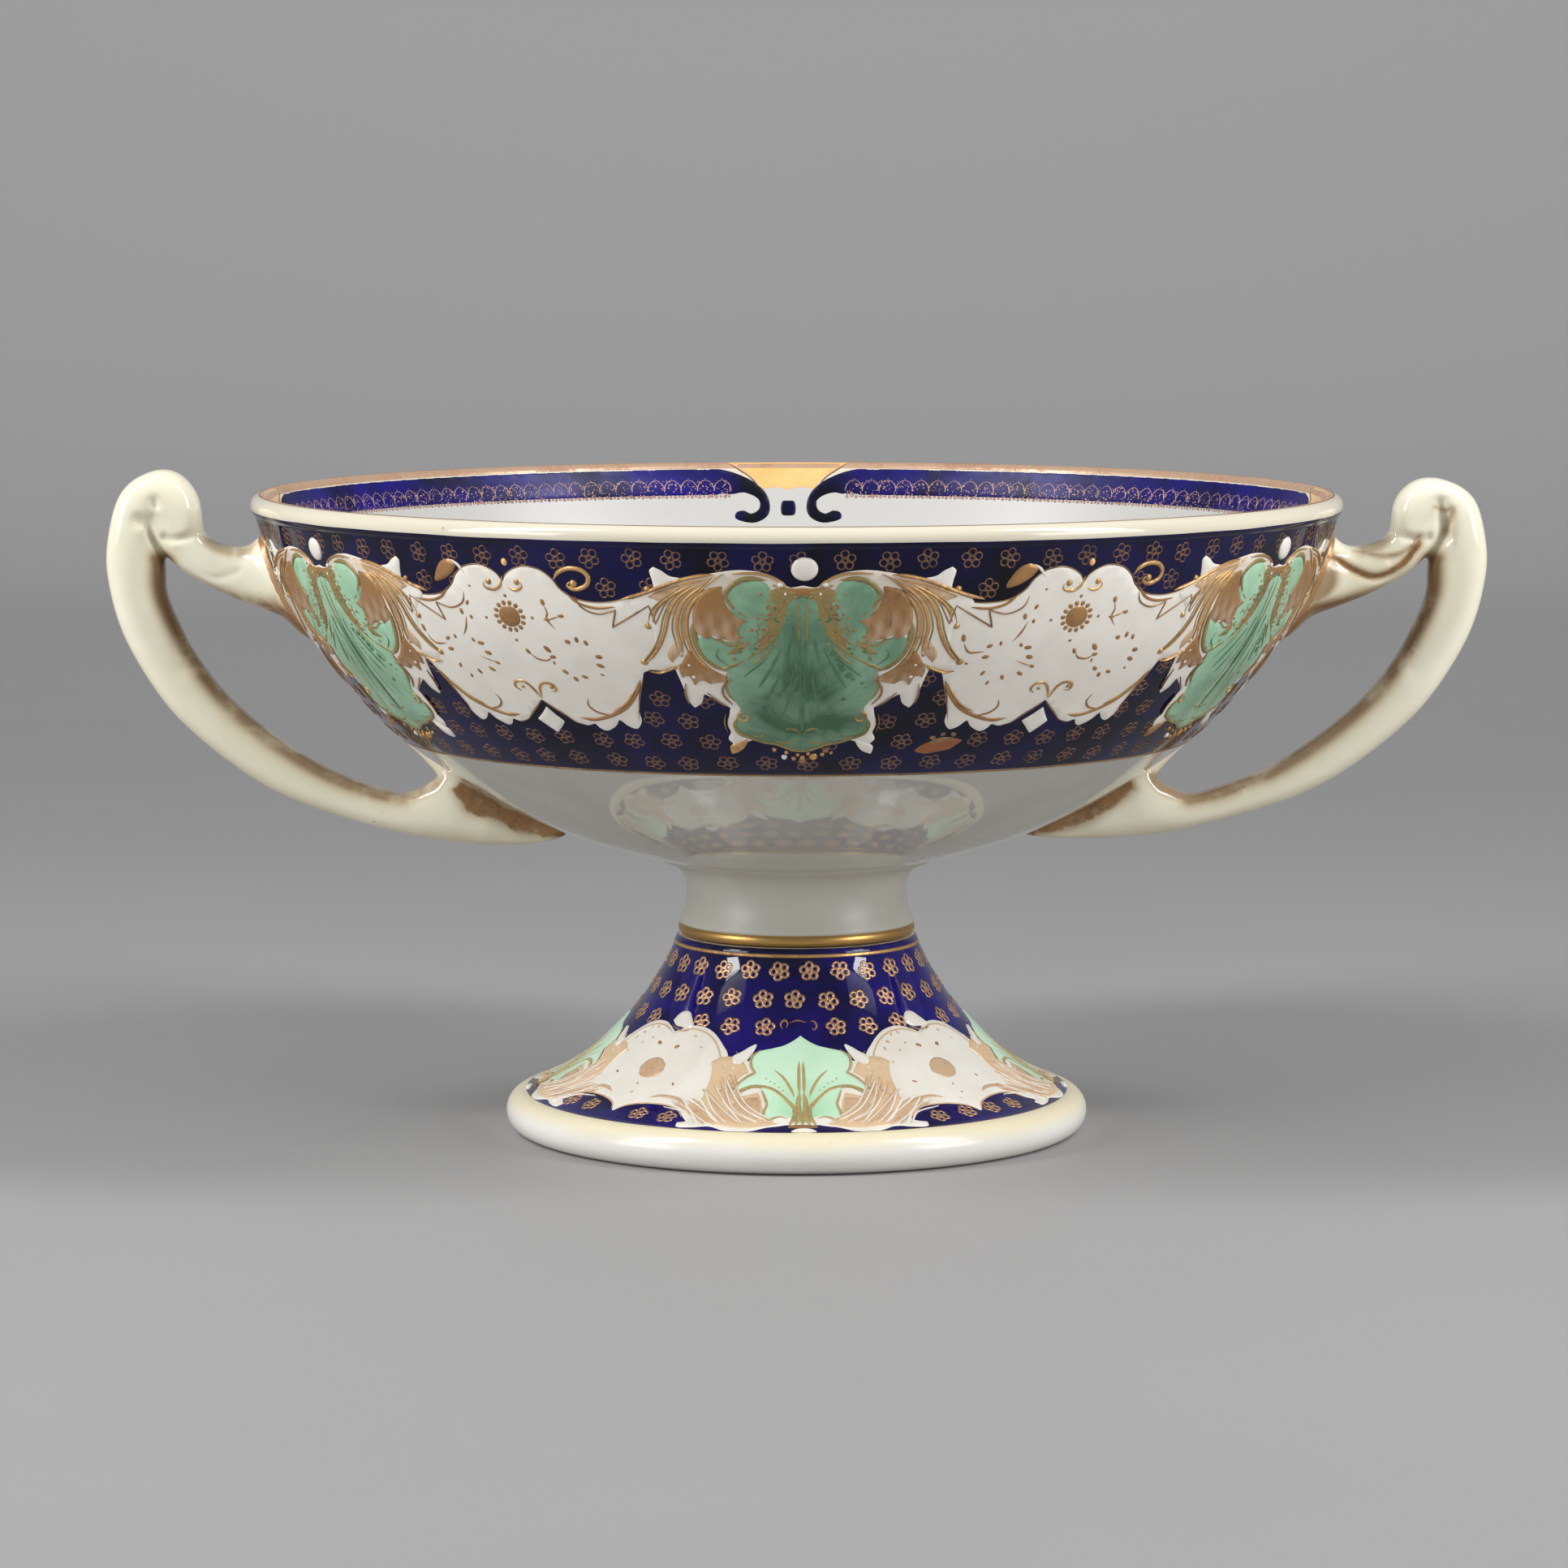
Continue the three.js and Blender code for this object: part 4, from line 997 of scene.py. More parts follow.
prints = {                                # rows: (mm down, florets in the row, shift in steps)
    "bowl": {"scale": 1.0, "line": 0.38, "seed": 21,
             "rows": [(2.3, 86, 0.1), (8.8, 83, 0.5), (15.2, 81, 0.2), (30.5, 80, 0.1), (36.8, 79, 0.6),
                      (43.4, 78, 0.25), (50.0, 75, 0.75), (56.9, 69, 0.3)]},
    "foot": {"scale": 0.95, "line": 0.8, "seed": 31,        # printed fuller
             "rows": [(4.2, 27, 0.45), (11.0, 28, 0.95), (18.0, 29, 0.1), (46.0, 46, 0.2)]},
}
bowlField = fieldOf(on, [(mirrored(shell["frame"]), shellTurns), (mirrored(panel["white"]), panelTurns),
                         (panel["diamond"], panelTurns), (patch["field"], [0])])
bowlFlorets = Heap()
strewFlorets(bowlFlorets, on, prints["bowl"], bowlField)

whites.piece("bowl_white_enamel", panelEnamel, "white_glaze")
greens.piece("bowl_green_shells", greenEnamel, "green_enamel")
veins.piece("bowl_shell_veins", veinEnamel, "green_enamel")
washes.piece("bowl_gold_wash", washGold, "gilding")
browns.piece("bowl_brown_gilding", leafGold, "gilding")
umbers.piece("bowl_rubbed_gilding", umberGold, "gilding")
olives.piece("bowl_olive_gilding", oliveGold, "gilding")
worn.piece("bowl_worn_patch", wornGold, "gilding")
golds.piece("bowl_gilt_lines_and_glints", lineGold, "gilding")
bowlFlorets.piece("bowl_gilt_florets", shadedFloretGold, "gilding")
peaches.piece("bowl_buds", peachEnamel, "cream_glaze")

print("tazza: ornament round the foot")

# A green leaf in its frame, and a white panel with a disc. They take turns round the foot
leafMotif = {
    "green": [(0, 19.9, 1), (2.5, 21.3), (5.5, 22.6), (9, 23.4), (12.8, 24.3), (14.8, 26.2),
              (14.4, 28.6), (13, 30.6, 1), (15.2, 32.2), (17.6, 35.2), (17.2, 36.8, 1), (15.2, 35.2),
              (12.6, 34.5), (10.6, 35.2, 1), (9.6, 37.4), (8.6, 40), (8.9, 42.6), (8.6, 45.4, 1),
              (7.2, 45), (5.2, 44), (3.2, 44.6), (1.4, 46.4, 1), (0, 47)],
    "frame": [(0, 22, 1), (8, 25), (13, 26, 1), (16, 27), (21, 27.4), (23.6, 26, 1), (27, 29), (28, 36),
              (27, 43), (25, 46.5), (27.8, 48.2, 1), (27, 50.2), (23.4, 50), (20, 49.2), (17, 50.4),
              (14, 51), (10.6, 50.4), (7.6, 48.8), (5.4, 48.2), (3.6, 47.6, 1), (0, 47.8)],
    "horn": [(13.6, 22, 1), (16, 22.9), (18.8, 24.6), (21.4, 26.2), (20.4, 28.6), (17.6, 28.6), (15.8, 26.8),
             (14.6, 24.8)],
    "wash": [(16, 28.4, 1), (18, 26.8), (21, 26.1), (24.6, 26.4), (27.6, 28, 1), (26, 31), (25.6, 36),
             (26, 40), (30, 41.6, 1), (27, 44.4), (22.6, 47), (18, 48.9), (12, 49.3), (8, 48.4),
             (4.4, 47.2, 1), (6.6, 46.2), (8.8, 45), (9, 42), (9.6, 39), (11, 36, 1), (14, 37),
             (17.4, 38.4, 1), (18.8, 35.6), (16.6, 32), (14.4, 30.6, 1)],
    "sparks": [(19.8, 29.4, 0.35), (20, 31, 0.3), (20.2, 32.6, 0.35), (22.6, 28.6, 0.3)],
    "flecks": [(21.4, 36.4, 0.4, 1.6), (15.2, 38, 0.4, 1.8)],
    "mass": [(10.6, 37.6, 1), (13.6, 38), (16.6, 39.8), (17.6, 42.6), (15.8, 45.8), (12.4, 47.2),
             (9.8, 46.2, 1), (9.4, 42)],
    "rims": [
        ([(12.4, 24.1), (14.9, 26.1), (14.6, 28.7), (13.1, 30.5, 1), (15.4, 32), (18, 35.2),
          (17.6, 37.4)], 0.55),
        ([(17.2, 36.8), (15.2, 35.1), (12.6, 34.4), (10.6, 35.1)], 0.4),
        ([(10.4, 35.4), (9.5, 37.4), (8.5, 40), (8.9, 42.6), (8.7, 45.6), (7.2, 45.3), (5.2, 44.2),
          (3.2, 44.9)], 0.5),
        ([(20.4, 24.8), (18.4, 26.4), (16.4, 28.8)], 0.4),
    ],
    "veins": [
        ([(0.6, 26.8), (0.7, 32), (0.6, 37)], 0.9), ([(7.9, 29.4), (4.8, 32), (2.8, 35.2), (1.8, 38)], 0.8),
        ([(16.6, 37.2), (14, 34.8), (11, 34.4), (7.6, 35.2), (4.6, 37.6), (2.4, 40.6), (1.4, 43)], 1.0),
    ],
    "veinDots": [(9.6, 32.2, 0.35), (8.4, 33, 0.35), (7.2, 33.6, 0.35), (6, 34.6, 0.35), (4.8, 35.6, 0.35)],
    "trunk": [([(0.5, 36), (0.9, 40), (0.7, 44), (1.6, 47.8)], 1.0),
              ([(3, 38.8), (1.9, 41), (1.8, 44.4), (2.9, 47.8)], 0.8), ([(0.1, 43), (0, 47.8)], 0.8)],
    "footShade": [(-3, 47.6, 1), (0, 47.2), (3, 47.6, 1), (3.2, 48.6), (0, 48.8), (-3.2, 48.6)],
    "bead": (0.2, 50.1, 1.35, 0.6, 1.7),
}
medallionPanel = {
    "white": [(0, 20.8, 1), (3, 19.6), (7, 18.6), (12, 18.8), (16.5, 20.2), (20.5, 22.8), (24, 26.4),
              (25, 34), (23, 44), (21, 48.4, 1), (18.5, 45.6), (16.5, 43.6), (13, 42.4), (8, 42.4),
              (4, 43.4), (1.8, 44.8), (0, 47, 1)],
    "lines": [
        ([(0.3, 21.6), (3, 20.6), (7, 19.8), (12, 20.2), (16.5, 21.8), (20, 24.6), (22.6, 28.6)], 0.45),
        ([(6.4, 40.4), (10, 39.4), (14.6, 39.9), (18, 41.8)], 1.1),
        ([(0.6, 46.2), (2, 44.2), (4.4, 43), (8.2, 42.2), (13, 42.2), (16.6, 43.4), (18.8, 46)], 0.45),
        ([(19.6, 30.8), (22, 30), (23.4, 27.6)], 0.5),
    ],
    "disc": (0.2, 31.6, 3.7, 0.1, 1.2),
    "dabs": [(-3.4, 24.6, 0.6, 1.9, 20), (4.6, 25, 0.65, 1.5, 160), (-0.6, 36.6, 0.35), (0, 39.4, 0.35),
             (-12, 34.4, 0.4, 2, 20), (10.6, 35.4, 0.35, 2, 70)],
    "bud": [(-4, 18.4, 1), (-3, 16.4), (-0.6, 15.2), (2.4, 15.4), (4.8, 17), (6.8, 18.6), (8, 19, 1),
            (5.4, 20.2), (1.8, 19.8), (-1.2, 19.6)],
    "spray": [(-9, 20.6, 0.5, 1.6, 40), (-12, 21, 0.4, 1.8, 120), (-14.4, 22.8, 0.6, 1.5, 20),
              (-8, 23.6, 0.45, 1.5, 0), (-16.4, 24.6, 0.5, 1.8, 80), (-11.4, 25.4, 0.4, 1.6, 140),
              (-18.6, 27.4, 0.5, 1.6, 50), (-15.6, 28.4, 0.4, 1.4, 0), (-19.4, 31.6, 0.45, 1.8, 100),
              (16, 41, 0.5, 1.8, 30), (19, 43, 0.5, 1.6, 60), (9.6, 21.6, 0.4, 2, 10),
              (20.4, 36.4, 0.4, 1.8, 80), (13.6, 24.4, 0.35, 1.6, 40)],
    "budShade": ([(-3.4, 19.2), (0.6, 20.3), (4.6, 20.5), (7.6, 19.4)], 0.6),
}
crest = [([(-5, 18.6), (-6, 17), (-4.6, 16), (-3.4, 16.9), (-4.2, 18.2)], 0.7),
         ([(-3.2, 16.8), (0, 16.1), (3.6, 16.7)], 0.5),
         ([(4.8, 17.8), (5.8, 18.6), (6.8, 17.4), (5.8, 16.2), (4.2, 16.6)], 0.7)]
under = footOutside


def leafTone(x, y):                       # green gathers round the foot of the leaf
    return np.clip((y - 30) / 22, 0, 1) * np.exp(-(np.abs(x) / 5) ** 2)


footHeaps = {name: Heap() for name in ("whites", "greens", "washes", "masses", "browns", "umbers",
                                       "golds", "veins")}
acanthus = {"ribs": 34, "seed": 8}
fans = []
rand = random.Random(acanthus["seed"])
for k in range(acanthus["ribs"]):         # the acanthus ribs fan out of the leaf's foot, with a free hand
    share = (k + rand.uniform(-0.4, 0.4)) / (acanthus["ribs"] - 1)
    low = (along(6, 23, share) + rand.uniform(-1, 1), along(46.6, 48.8, share) + rand.uniform(-1.2, 0.4))
    bend = (along(13, 27, share) + rand.uniform(-0.8, 0.8), along(41, 44.6, share) + rand.uniform(-0.6, 0.6))
    tip = (along(19.6, 33, share) + rand.uniform(-2, 1), along(31, 41.4, share) + rand.uniform(-1, 2.4))
    fans.append(([low, bend, tip], rand.uniform(0.25, 0.6)))
leafSides = [
    ("washes", [enamel(under, leafMotif["wash"], 0.3, grid=1.1)]),
    ("whites", [enamel(under, leafMotif["horn"], 0.42, bevel=0.6, grid=0.9)]),
    ("masses", [enamel(under, leafMotif["mass"], 0.38, grid=1.0)]),
    ("masses", strokes(under, [f for i, f in enumerate(fans) if i % 3], 0.12, 0.34)),
    ("whites", strokes(under, [f for i, f in enumerate(fans) if i % 3 == 0], 0.12, 0.36)),
    ("whites", beads(under, leafMotif["sparks"], 0.14, 0.3, sides=7)),
    ("veins", beads(under, leafMotif["flecks"], 0.14, 0.3, sides=7)),
    ("veins", strokes(under, leafMotif["rims"], 0.12, 0.28)),
    ("veins", strokes(under, leafMotif["trunk"], 0.14, 0.3)),
    ("veins", strokes(under, leafMotif["veins"], 0.12, 0.25)),
    ("veins", beads(under, leafMotif["veinDots"], 0.12, 0.26, sides=6)),
]
footFrame = enamel(under, mirrored(leafMotif["frame"]), 0.16, grid=1.6)
footLeaf = enamel(under, mirrored(leafMotif["green"]), 0.28, grid=1.2)
footShade = enamel(under, leafMotif["footShade"], 0.3, grid=0.8)
footTurns = [1.2 + 90 * k for k in range(4)]
medallionTurns = [45 + 90 * k for k in range(4)]
for turn in footTurns:
    footHeaps["whites"].lay(under, footFrame, turn)
    footHeaps["greens"].lay(under, footLeaf, turn, tone=leafTone)
    footHeaps["umbers"].lay(under, footShade, turn)
    footHeaps["whites"].lay(under, bead(under, *leafMotif["bead"], sides=16), turn)
    for part in strokes(under, crest, 0.2):
        footHeaps["browns"].lay(under, part, turn - 1)
    for flip in (False, True):
        for name, parts in leafSides:
            for part in parts:
                footHeaps[name].lay(under, part, turn, flip)
footPanel = enamel(under, mirrored(medallionPanel["white"]), 0.18, grid=1.8)
medallionParts = [
    ("whites", [enamel(under, medallionPanel["bud"], 0.34, bevel=0.6, grid=1.0)]),
    ("masses", [bead(under, *medallionPanel["disc"], sides=22, base=0.19)]),
    ("browns", beads(under, medallionPanel["dabs"], 0.12, 0.18)),
    ("masses", beads(under, medallionPanel["spray"], 0.12, 0.17, sides=7)),
    # the dark stroke under the bud is a painted shadow
    ("umbers", strokes(under, [medallionPanel["budShade"]], 0.3)),
]
panelEdges = strokes(under, medallionPanel["lines"], 0.12, 0.17)
for turn in medallionTurns:
    footHeaps["whites"].lay(under, footPanel, turn)
    for name, parts in medallionParts:
        for part in parts:
            footHeaps[name].lay(under, part, turn)
    for flip in (False, True):
        for part in panelEdges:
            footHeaps["masses"].lay(under, part, turn, flip)
crestField = [(-7, 15, 1), (7, 15, 1), (7, 20, 1), (-7, 20, 1)]
footField = fieldOf(under, [(mirrored(leafMotif["frame"]), footTurns),
                            (mirrored(leafMotif["green"]), footTurns),
                            (mirrored(medallionPanel["white"]), medallionTurns),
                            (medallionPanel["bud"], medallionTurns), (crestField, footTurns)])
footFlorets = Heap()
strewFlorets(footFlorets, under, prints["foot"], footField)
giltRing(footHeaps["golds"], under, *cobalt["foot"]["topRing"])
giltRing(footHeaps["umbers"], under, cobalt["foot"]["end"], cobalt["foot"]["endRing"])
footHeaps["whites"].piece("foot_white_enamel", panelEnamel, "white_glaze")
footHeaps["greens"].piece("foot_green_leaves", mintEnamel, "green_enamel")
footHeaps["veins"].piece("foot_leaf_veins", footVeinGold, "gilding")
footHeaps["washes"].piece("foot_gold_wash", paleWash, "gilding")
footHeaps["masses"].piece("foot_acanthus", washGold, "gilding")
footHeaps["browns"].piece("foot_brown_gilding", leafGold, "gilding")
footHeaps["umbers"].piece("foot_rubbed_gilding_and_shadow", umberGold, "gilding")
footHeaps["golds"].piece("foot_gilt_lines", lineGold, "gilding")
footFlorets.piece("foot_gilt_florets", footFloretGold, "gilding")

beadSkin = arcOf(beadCentre, stem["beadHeight"] / 2 + 0.05, -70, 62, 12)
bodyOf("stem_gilt_bead", beadSkin + offsetBy(beadSkin, 0.12)[::-1], stem["segments"], beadGold, "gilding",
       closed=True)

print("tazza: handles")

handle = {"reach": 34.9, "halfThick": 7, "rootInWall": 2.6, "sunk": 0.8, "square": 0.75,
          "sides": 36, "spans": 9, "voxel": 0.6, "fettling": 9,
          "left": {"rise": 10, "tuck": 0, "stretch": 1},
          "right": {"rise": 8.2, "tuck": 1.5, "stretch": 1.15}}
# Stations along a handle: outer point, inner point and half thickness. Across, 0 is the bowl's seat and 1
# its lip; up, 0 is the seat and 1 the lip. Past 1 they count in "reach" and "rise"
curlAndSweep = [
    ((1.364, 0.947), (1.582, 0.898), 0.943), ((1.395, 1.36), (1.639, 0.955), 0.986),
    ((1.507, 1.88), (1.673, 0.977), 1), ((1.656, 2), (1.696, 0.982), 1), ((1.834, 1.73), (1.713, 0.967), 1),
    ((1.94, 1.19), (1.696, 0.929), 1), ((2, 0.897), (1.619, 0.864), 0.986),
    ((1.989, 0.798), (1.605, 0.771), 0.971), ((1.917, 0.673), (1.519, 0.675), 0.957),
    ((1.785, 0.554), (1.401, 0.579), 0.943), ((1.587, 0.428), (1.223, 0.477), 0.929),
    ((1.341, 0.324), (1.006, 0.389), 0.914), ((1.032, 0.224), (0.9, 0.304), 0.9),
    ((0.903, 0.159), (0.813, 0.248), 0.886), ((0.78, 0.11), (0.714, 0.205), 0.886),
    ((0.678, 0.077), (0.64, 0.186), 0.914), ((0.591, 0.055), (0.572, 0.222), 0.971),
]
# The leaf's tail (across, low edge, half thickness), and the rib under it (across, hang, half thickness)
leafTail = [(0.515, 0.043, 1.057), (0.428, 0.034, 1), (0.347, 0.034, 0.8), (0.282, 0.043, 0.486),
            (0.235, 0.06, 0.171)]
spur = [(0.69, 0.143, 0.143), (0.64, 0.214, 0.314), (0.6, 0.3, 0.457), (0.56, 0.486, 0.657),
        (0.52, 0.714, 0.857)]
arm = [
    ((0.922, 0.961), (0.813, 0.615), 1.5), ((0.992, 0.937), (0.882, 0.642), 1.4),
    ((1.043, 0.914), (0.941, 0.699), 1.171), ((1.12, 0.903), (1.023, 0.73), 1.029),
    ((1.246, 0.913), (1.209, 0.763), 0.971), ((1.33, 0.932), (1.381, 0.801), 0.943),
    ((1.393, 0.965), (1.519, 0.84), 0.914), ((1.473, 1.08), (1.653, 0.904), 0.857),
    ((1.593, 1.32), (1.742, 0.962), 0.771),
]
# Grooves modelled into both faces of a handle: (points across and up, width, depth)
grooves = {
    "both": [
        ([(138, 138.4), (140.2, 137.3), (142.6, 136.9), (144.6, 137.4)], 0.9, 0.9),
        ([(149, 136), (150.5, 130), (150, 124), (147, 116), (141, 108)], 2.4, 0.35),
    ],
    "right": [
        ([(147.2, 145.2), (148.4, 142), (149, 138.4)], 1.5, 1.3),
        ([(141.4, 134.5), (136.5, 129.6), (132.6, 128.1), (127.7, 129.6), (123.2, 132.1)], 0.9, 0.7),
        ([(142.4, 137.6), (139.4, 133.5), (136, 132)], 0.8, 0.45),
    ],
    "left": [
        ([(150.7, 141.4), (150.6, 141)], 1.4, 1.0), ([(147, 145.6), (146.8, 145)], 1.3, 0.9),
        ([(141.4, 134.5), (136.5, 129.6), (132.6, 128.1), (127.7, 129.6)], 0.9, 0.3),
    ],
}
wallArray = asArray(wallCurve)
wallNormal = -turnedSurface(wallCurve, 1)["normal"]


def wallDepth(points):                    # how deep each point lies inside the wall, and the way out
    flatR = np.hypot(points[:, 0], points[:, 1])
    gap = np.stack([flatR, points[:, 2]], 1)[:, None] - wallArray[None]
    near = np.hypot(gap[..., 0], gap[..., 1]).argmin(1)
    out = wallNormal[near]
    depth = -(gap[np.arange(len(points)), near] * out).sum(1)
    return depth, out, flatR


def pathDistance(points, spots):
    path = asArray(splineThrough(points, 0.5))
    return np.hypot(*np.moveaxis(spots[:, None] - path[None], 2, 0)).min(1)


def onHandle(point, rise, tuck=0.0):       # a station's shares as a place in mm
    across, up = point
    x = along(bowl["seat"], wallTopR, across) if across <= 1 else wallTopR + (across - 1) * handle["reach"]
    z = along(seatZ + tuck, wallTopZ, up) if up <= 1 else wallTopZ + (up - 1) * rise
    return Vector((x, z))


def byWall(across, lift):                 # a place over the bowl's own wall
    x = along(bowl["seat"], wallTopR, across)
    return Vector((x, float(np.interp(x, wallArray[:, 0], wallArray[:, 1])) + lift))


def strapMesh(stations):                  # a strap of clay lofted between an outer and an inner rail
    outer, inner, thick = zip(*stations)
    rails = [smoothThrough(list(rail), lambda b, c: handle["spans"]) for rail in (outer, inner)]
    halves = np.interp(np.arange(len(rails[0])) / handle["spans"], range(len(stations)), thick)
    verts, faces, n = [], [], handle["sides"]
    for top, low, half in zip(*rails, halves * handle["halfThick"]):
        middle, across = (top + low) / 2, (top - low) / 2
        for k in range(n):
            t = k / n * 2 * math.pi
            c, s = [math.copysign(abs(v) ** handle["square"], v) for v in (math.cos(t), math.sin(t))]
            p = middle + across * c
            verts.append((p.x, half * s, p.y))
    for ring in range(len(rails[0]) - 1):
        a = ring * n
        faces += [[a + k, a + (k + 1) % n, a + n + (k + 1) % n, a + n + k] for k in range(n)]
    last = (len(rails[0]) - 1) * n
    faces += [list(range(n))[::-1], [last + k for k in range(n)]]
    return verts, faces


def readMesh(mesh):                       # points in mm, and normals
    n = len(mesh.vertices)
    pts, normals = np.empty(n * 3), np.empty(n * 3)
    mesh.vertices.foreach_get("co", pts)
    mesh.vertices.foreach_get("normal", normals)
    return pts.reshape(-1, 3) / mm, normals.reshape(-1, 3)


def handleMesh(name, side):
    rise, tuck, stretch = [handle[side][k] for k in ("rise", "tuck", "stretch")]
    sweep = [(onHandle(o, rise, tuck), onHandle(i, rise), h) for o, i, h in curlAndSweep]
    for across, low, half in leafTail:
        drawn = leafTail[0][0] + (across - leafTail[0][0]) * stretch
        sweep.append((onHandle((drawn, low), rise, tuck), byWall(drawn, handle["rootInWall"]), half))
    upper = [(onHandle(o, rise, tuck), onHandle(i, rise), h) for o, i, h in arm]
    rib = [(byWall(a, -hang * handle["halfThick"]), byWall(a, handle["rootInWall"]), h)
           for a, hang, h in spur]
    heapVerts, heapFaces = [], []
    for verts, faces in (strapMesh(sweep), strapMesh(upper), strapMesh(rib)):
        heapFaces += [[len(heapVerts) + i for i in f] for f in faces]
        heapVerts += verts
    mesh = bpy.data.meshes.new(name)
    mesh.from_pydata([[v * mm for v in p] for p in heapVerts], [], heapFaces)
    rough = placed(name + "_rough", mesh)
    cut = rough.modifiers.new("clay", "REMESH")
    cut.mode = "VOXEL"
    cut.voxel_size = handle["voxel"] * mm
    smooth = rough.modifiers.new("fettled", "SMOOTH")
    smooth.factor = 0.5
    smooth.iterations = handle["fettling"]
    graph = bpy.context.evaluated_depsgraph_get()
    made = bpy.data.meshes.new_from_object(rough.evaluated_get(graph))
    bpy.data.objects.remove(rough)
    pts, normals = readMesh(made)
    face = np.sign(normals[:, 1]) * np.clip(abs(normals[:, 1]) * 1.6, 0, 1)
    for path, width, depth in grooves["both"] + grooves[side]:
        pts[:, 1] -= face * depth * np.exp(-(pathDistance(path, pts[:, ::2]) / width) ** 2)
    depth, out, flatR = wallDepth(pts)
    push = np.maximum(depth - handle["sunk"], 0)
    newR = flatR + out[:, 0] * push
    pts[:, :2] *= (newR / flatR)[:, None]
    pts[:, 2] += out[:, 1] * push
    made.vertices.foreach_set("co", (pts * mm).ravel())
    made.update()
    return made


def smoothStep(low, high, value):
    t = np.clip((value - low) / (high - low), 0, 1)
    return t * t * (3 - 2 * t)


def patchMark(outline, spots, soft):      # 1 inside an outline, falling to 0 outside it
    edge = asArray(cornered(outline, 0.8))
    far = edgeDistance(edge, spots) * np.where(insideOf(edge, spots), 1, -1)
    return smoothStep(-soft, soft, far)


# Gold on the handles, brushed on by hand, so the two differ. Points are across and up, in mm; "left" and
# "right" are the marks on the leaves
brushed = {
    "loopMiddle": (124.0, 108.0), "crotch": (146.8, 132.6),
    "left": [(79.8, 79.4, 1), (77.9, 76.8), (76.2, 73.9), (70.8, 72.2), (64.1, 68.9), (61.5, 67.8),
             (56.1, 67), (47, 65, 1), (47, 72), (63.2, 74.5), (71.6, 79), (76.8, 82, 1)],
    "right": [(78.4, 79.6, 1), (75.6, 77), (71.8, 74.2), (67.4, 71.4), (62, 69.6), (56, 68), (47, 65.8, 1),
              (47, 72), (63.2, 76), (71.6, 80), (76.8, 83, 1)],
    "armPatch": [(120, 131, 1), (123.4, 130.6), (124, 127), (121.6, 123.6), (117, 121, 1), (117, 128)],
    "streaks": [  # points, width, strength
        ([(142.5, 136), (138, 130.8), (132.6, 128.6), (127.7, 130), (122, 133.6)], 1.3, 1),
        ([(142.4, 137.6), (139.4, 134.4), (134.5, 133.2), (128, 134.5)], 0.9, 0.8),
        ([(146, 144.4), (148.6, 143.6), (150, 144), (149.4, 141), (148.6, 138.6)], 0.9, 0.75),
        ([(150.2, 139.6), (150.6, 136)], 0.7, 0.5)],
}


def paintHandle(mesh, side):
    rise = handle[side]["rise"]
    insideLine = [onHandle(i, rise) for o, i, h in curlAndSweep[6:-1]]
    pts, normals = readMesh(mesh)
    x, _, z = pts.T
    spots = pts[:, ::2]
    depth = wallDepth(pts)[0]
    away = spots - np.array(brushed["loopMiddle"])
    away /= np.hypot(*away.T)[:, None]
    inner = -(normals[:, 0] * away[:, 0] + normals[:, 2] * away[:, 1])
    under = smoothStep(0.2, 0.9, -normals[:, 2])
    # thin gold: inside the loop, over the arm, in the crotch of the curl, on the leaf and at its tip; and
    # faintly on every face that looks down, which is painted shade under the handle
    loop = np.maximum(smoothStep(0.1, 0.75, inner) * smoothStep(156, 150, x),
                      1.4 * np.exp(-(pathDistance(insideLine, spots) / 3) ** 2))
    loop = np.minimum(loop, 1) * smoothStep(138, 132, z) * (0.88 + 0.12 * smoothStep(92, 126, z))
    armTop = (smoothStep(0.3, 0.8, normals[:, 2]) * smoothStep(127, 130, x) * smoothStep(139, 136, x)
              * smoothStep(128, 131, z) * smoothStep(139, 136, z))
    crotch = np.exp(-(np.hypot(x - brushed["crotch"][0], z - brushed["crotch"][1]) / 2.2) ** 2)
    leafWash = patchMark(brushed[side], spots, 1.8) * (0.85 if side == "left" else 1)
    tip = smoothStep(59, 52, x)
    wash = np.maximum.reduce([loop, armTop * 0.7, crotch, under * 0.3, leafWash, tip])
    joint = smoothStep(-2.4, -0.5, depth)    # full gold: along the joint with the wall, and on the leaf
    gold = joint * smoothStep(100, 112, z)
    gold = np.maximum.reduce([gold, tip * 0.8, patchMark(brushed[side], spots, 1.6) * 0.6])
    if side == "right":                       # the painter's strokes over the right arm
        for path, width, strength in brushed["streaks"]:
            streak = np.exp(-(pathDistance(path, spots) / width) ** 2)
            streak *= smoothStep(0.2, 0.6, abs(normals[:, 1])) * strength
            wash = np.maximum(wash, streak)
            gold = np.maximum(gold, streak * 0.6)
        wash = np.maximum(wash, patchMark(brushed["armPatch"], spots, 1.4) * 0.9)
    else:
        edge = smoothStep(0.35, 0.8, normals[:, 2]) * smoothStep(131, 127, x) * smoothStep(126, 132, z)
        wash = np.maximum(wash, edge * 0.8)
    paint(mesh, "brushedGold", gold)
    paint(mesh, "goldWashAndUnderShade", wash)


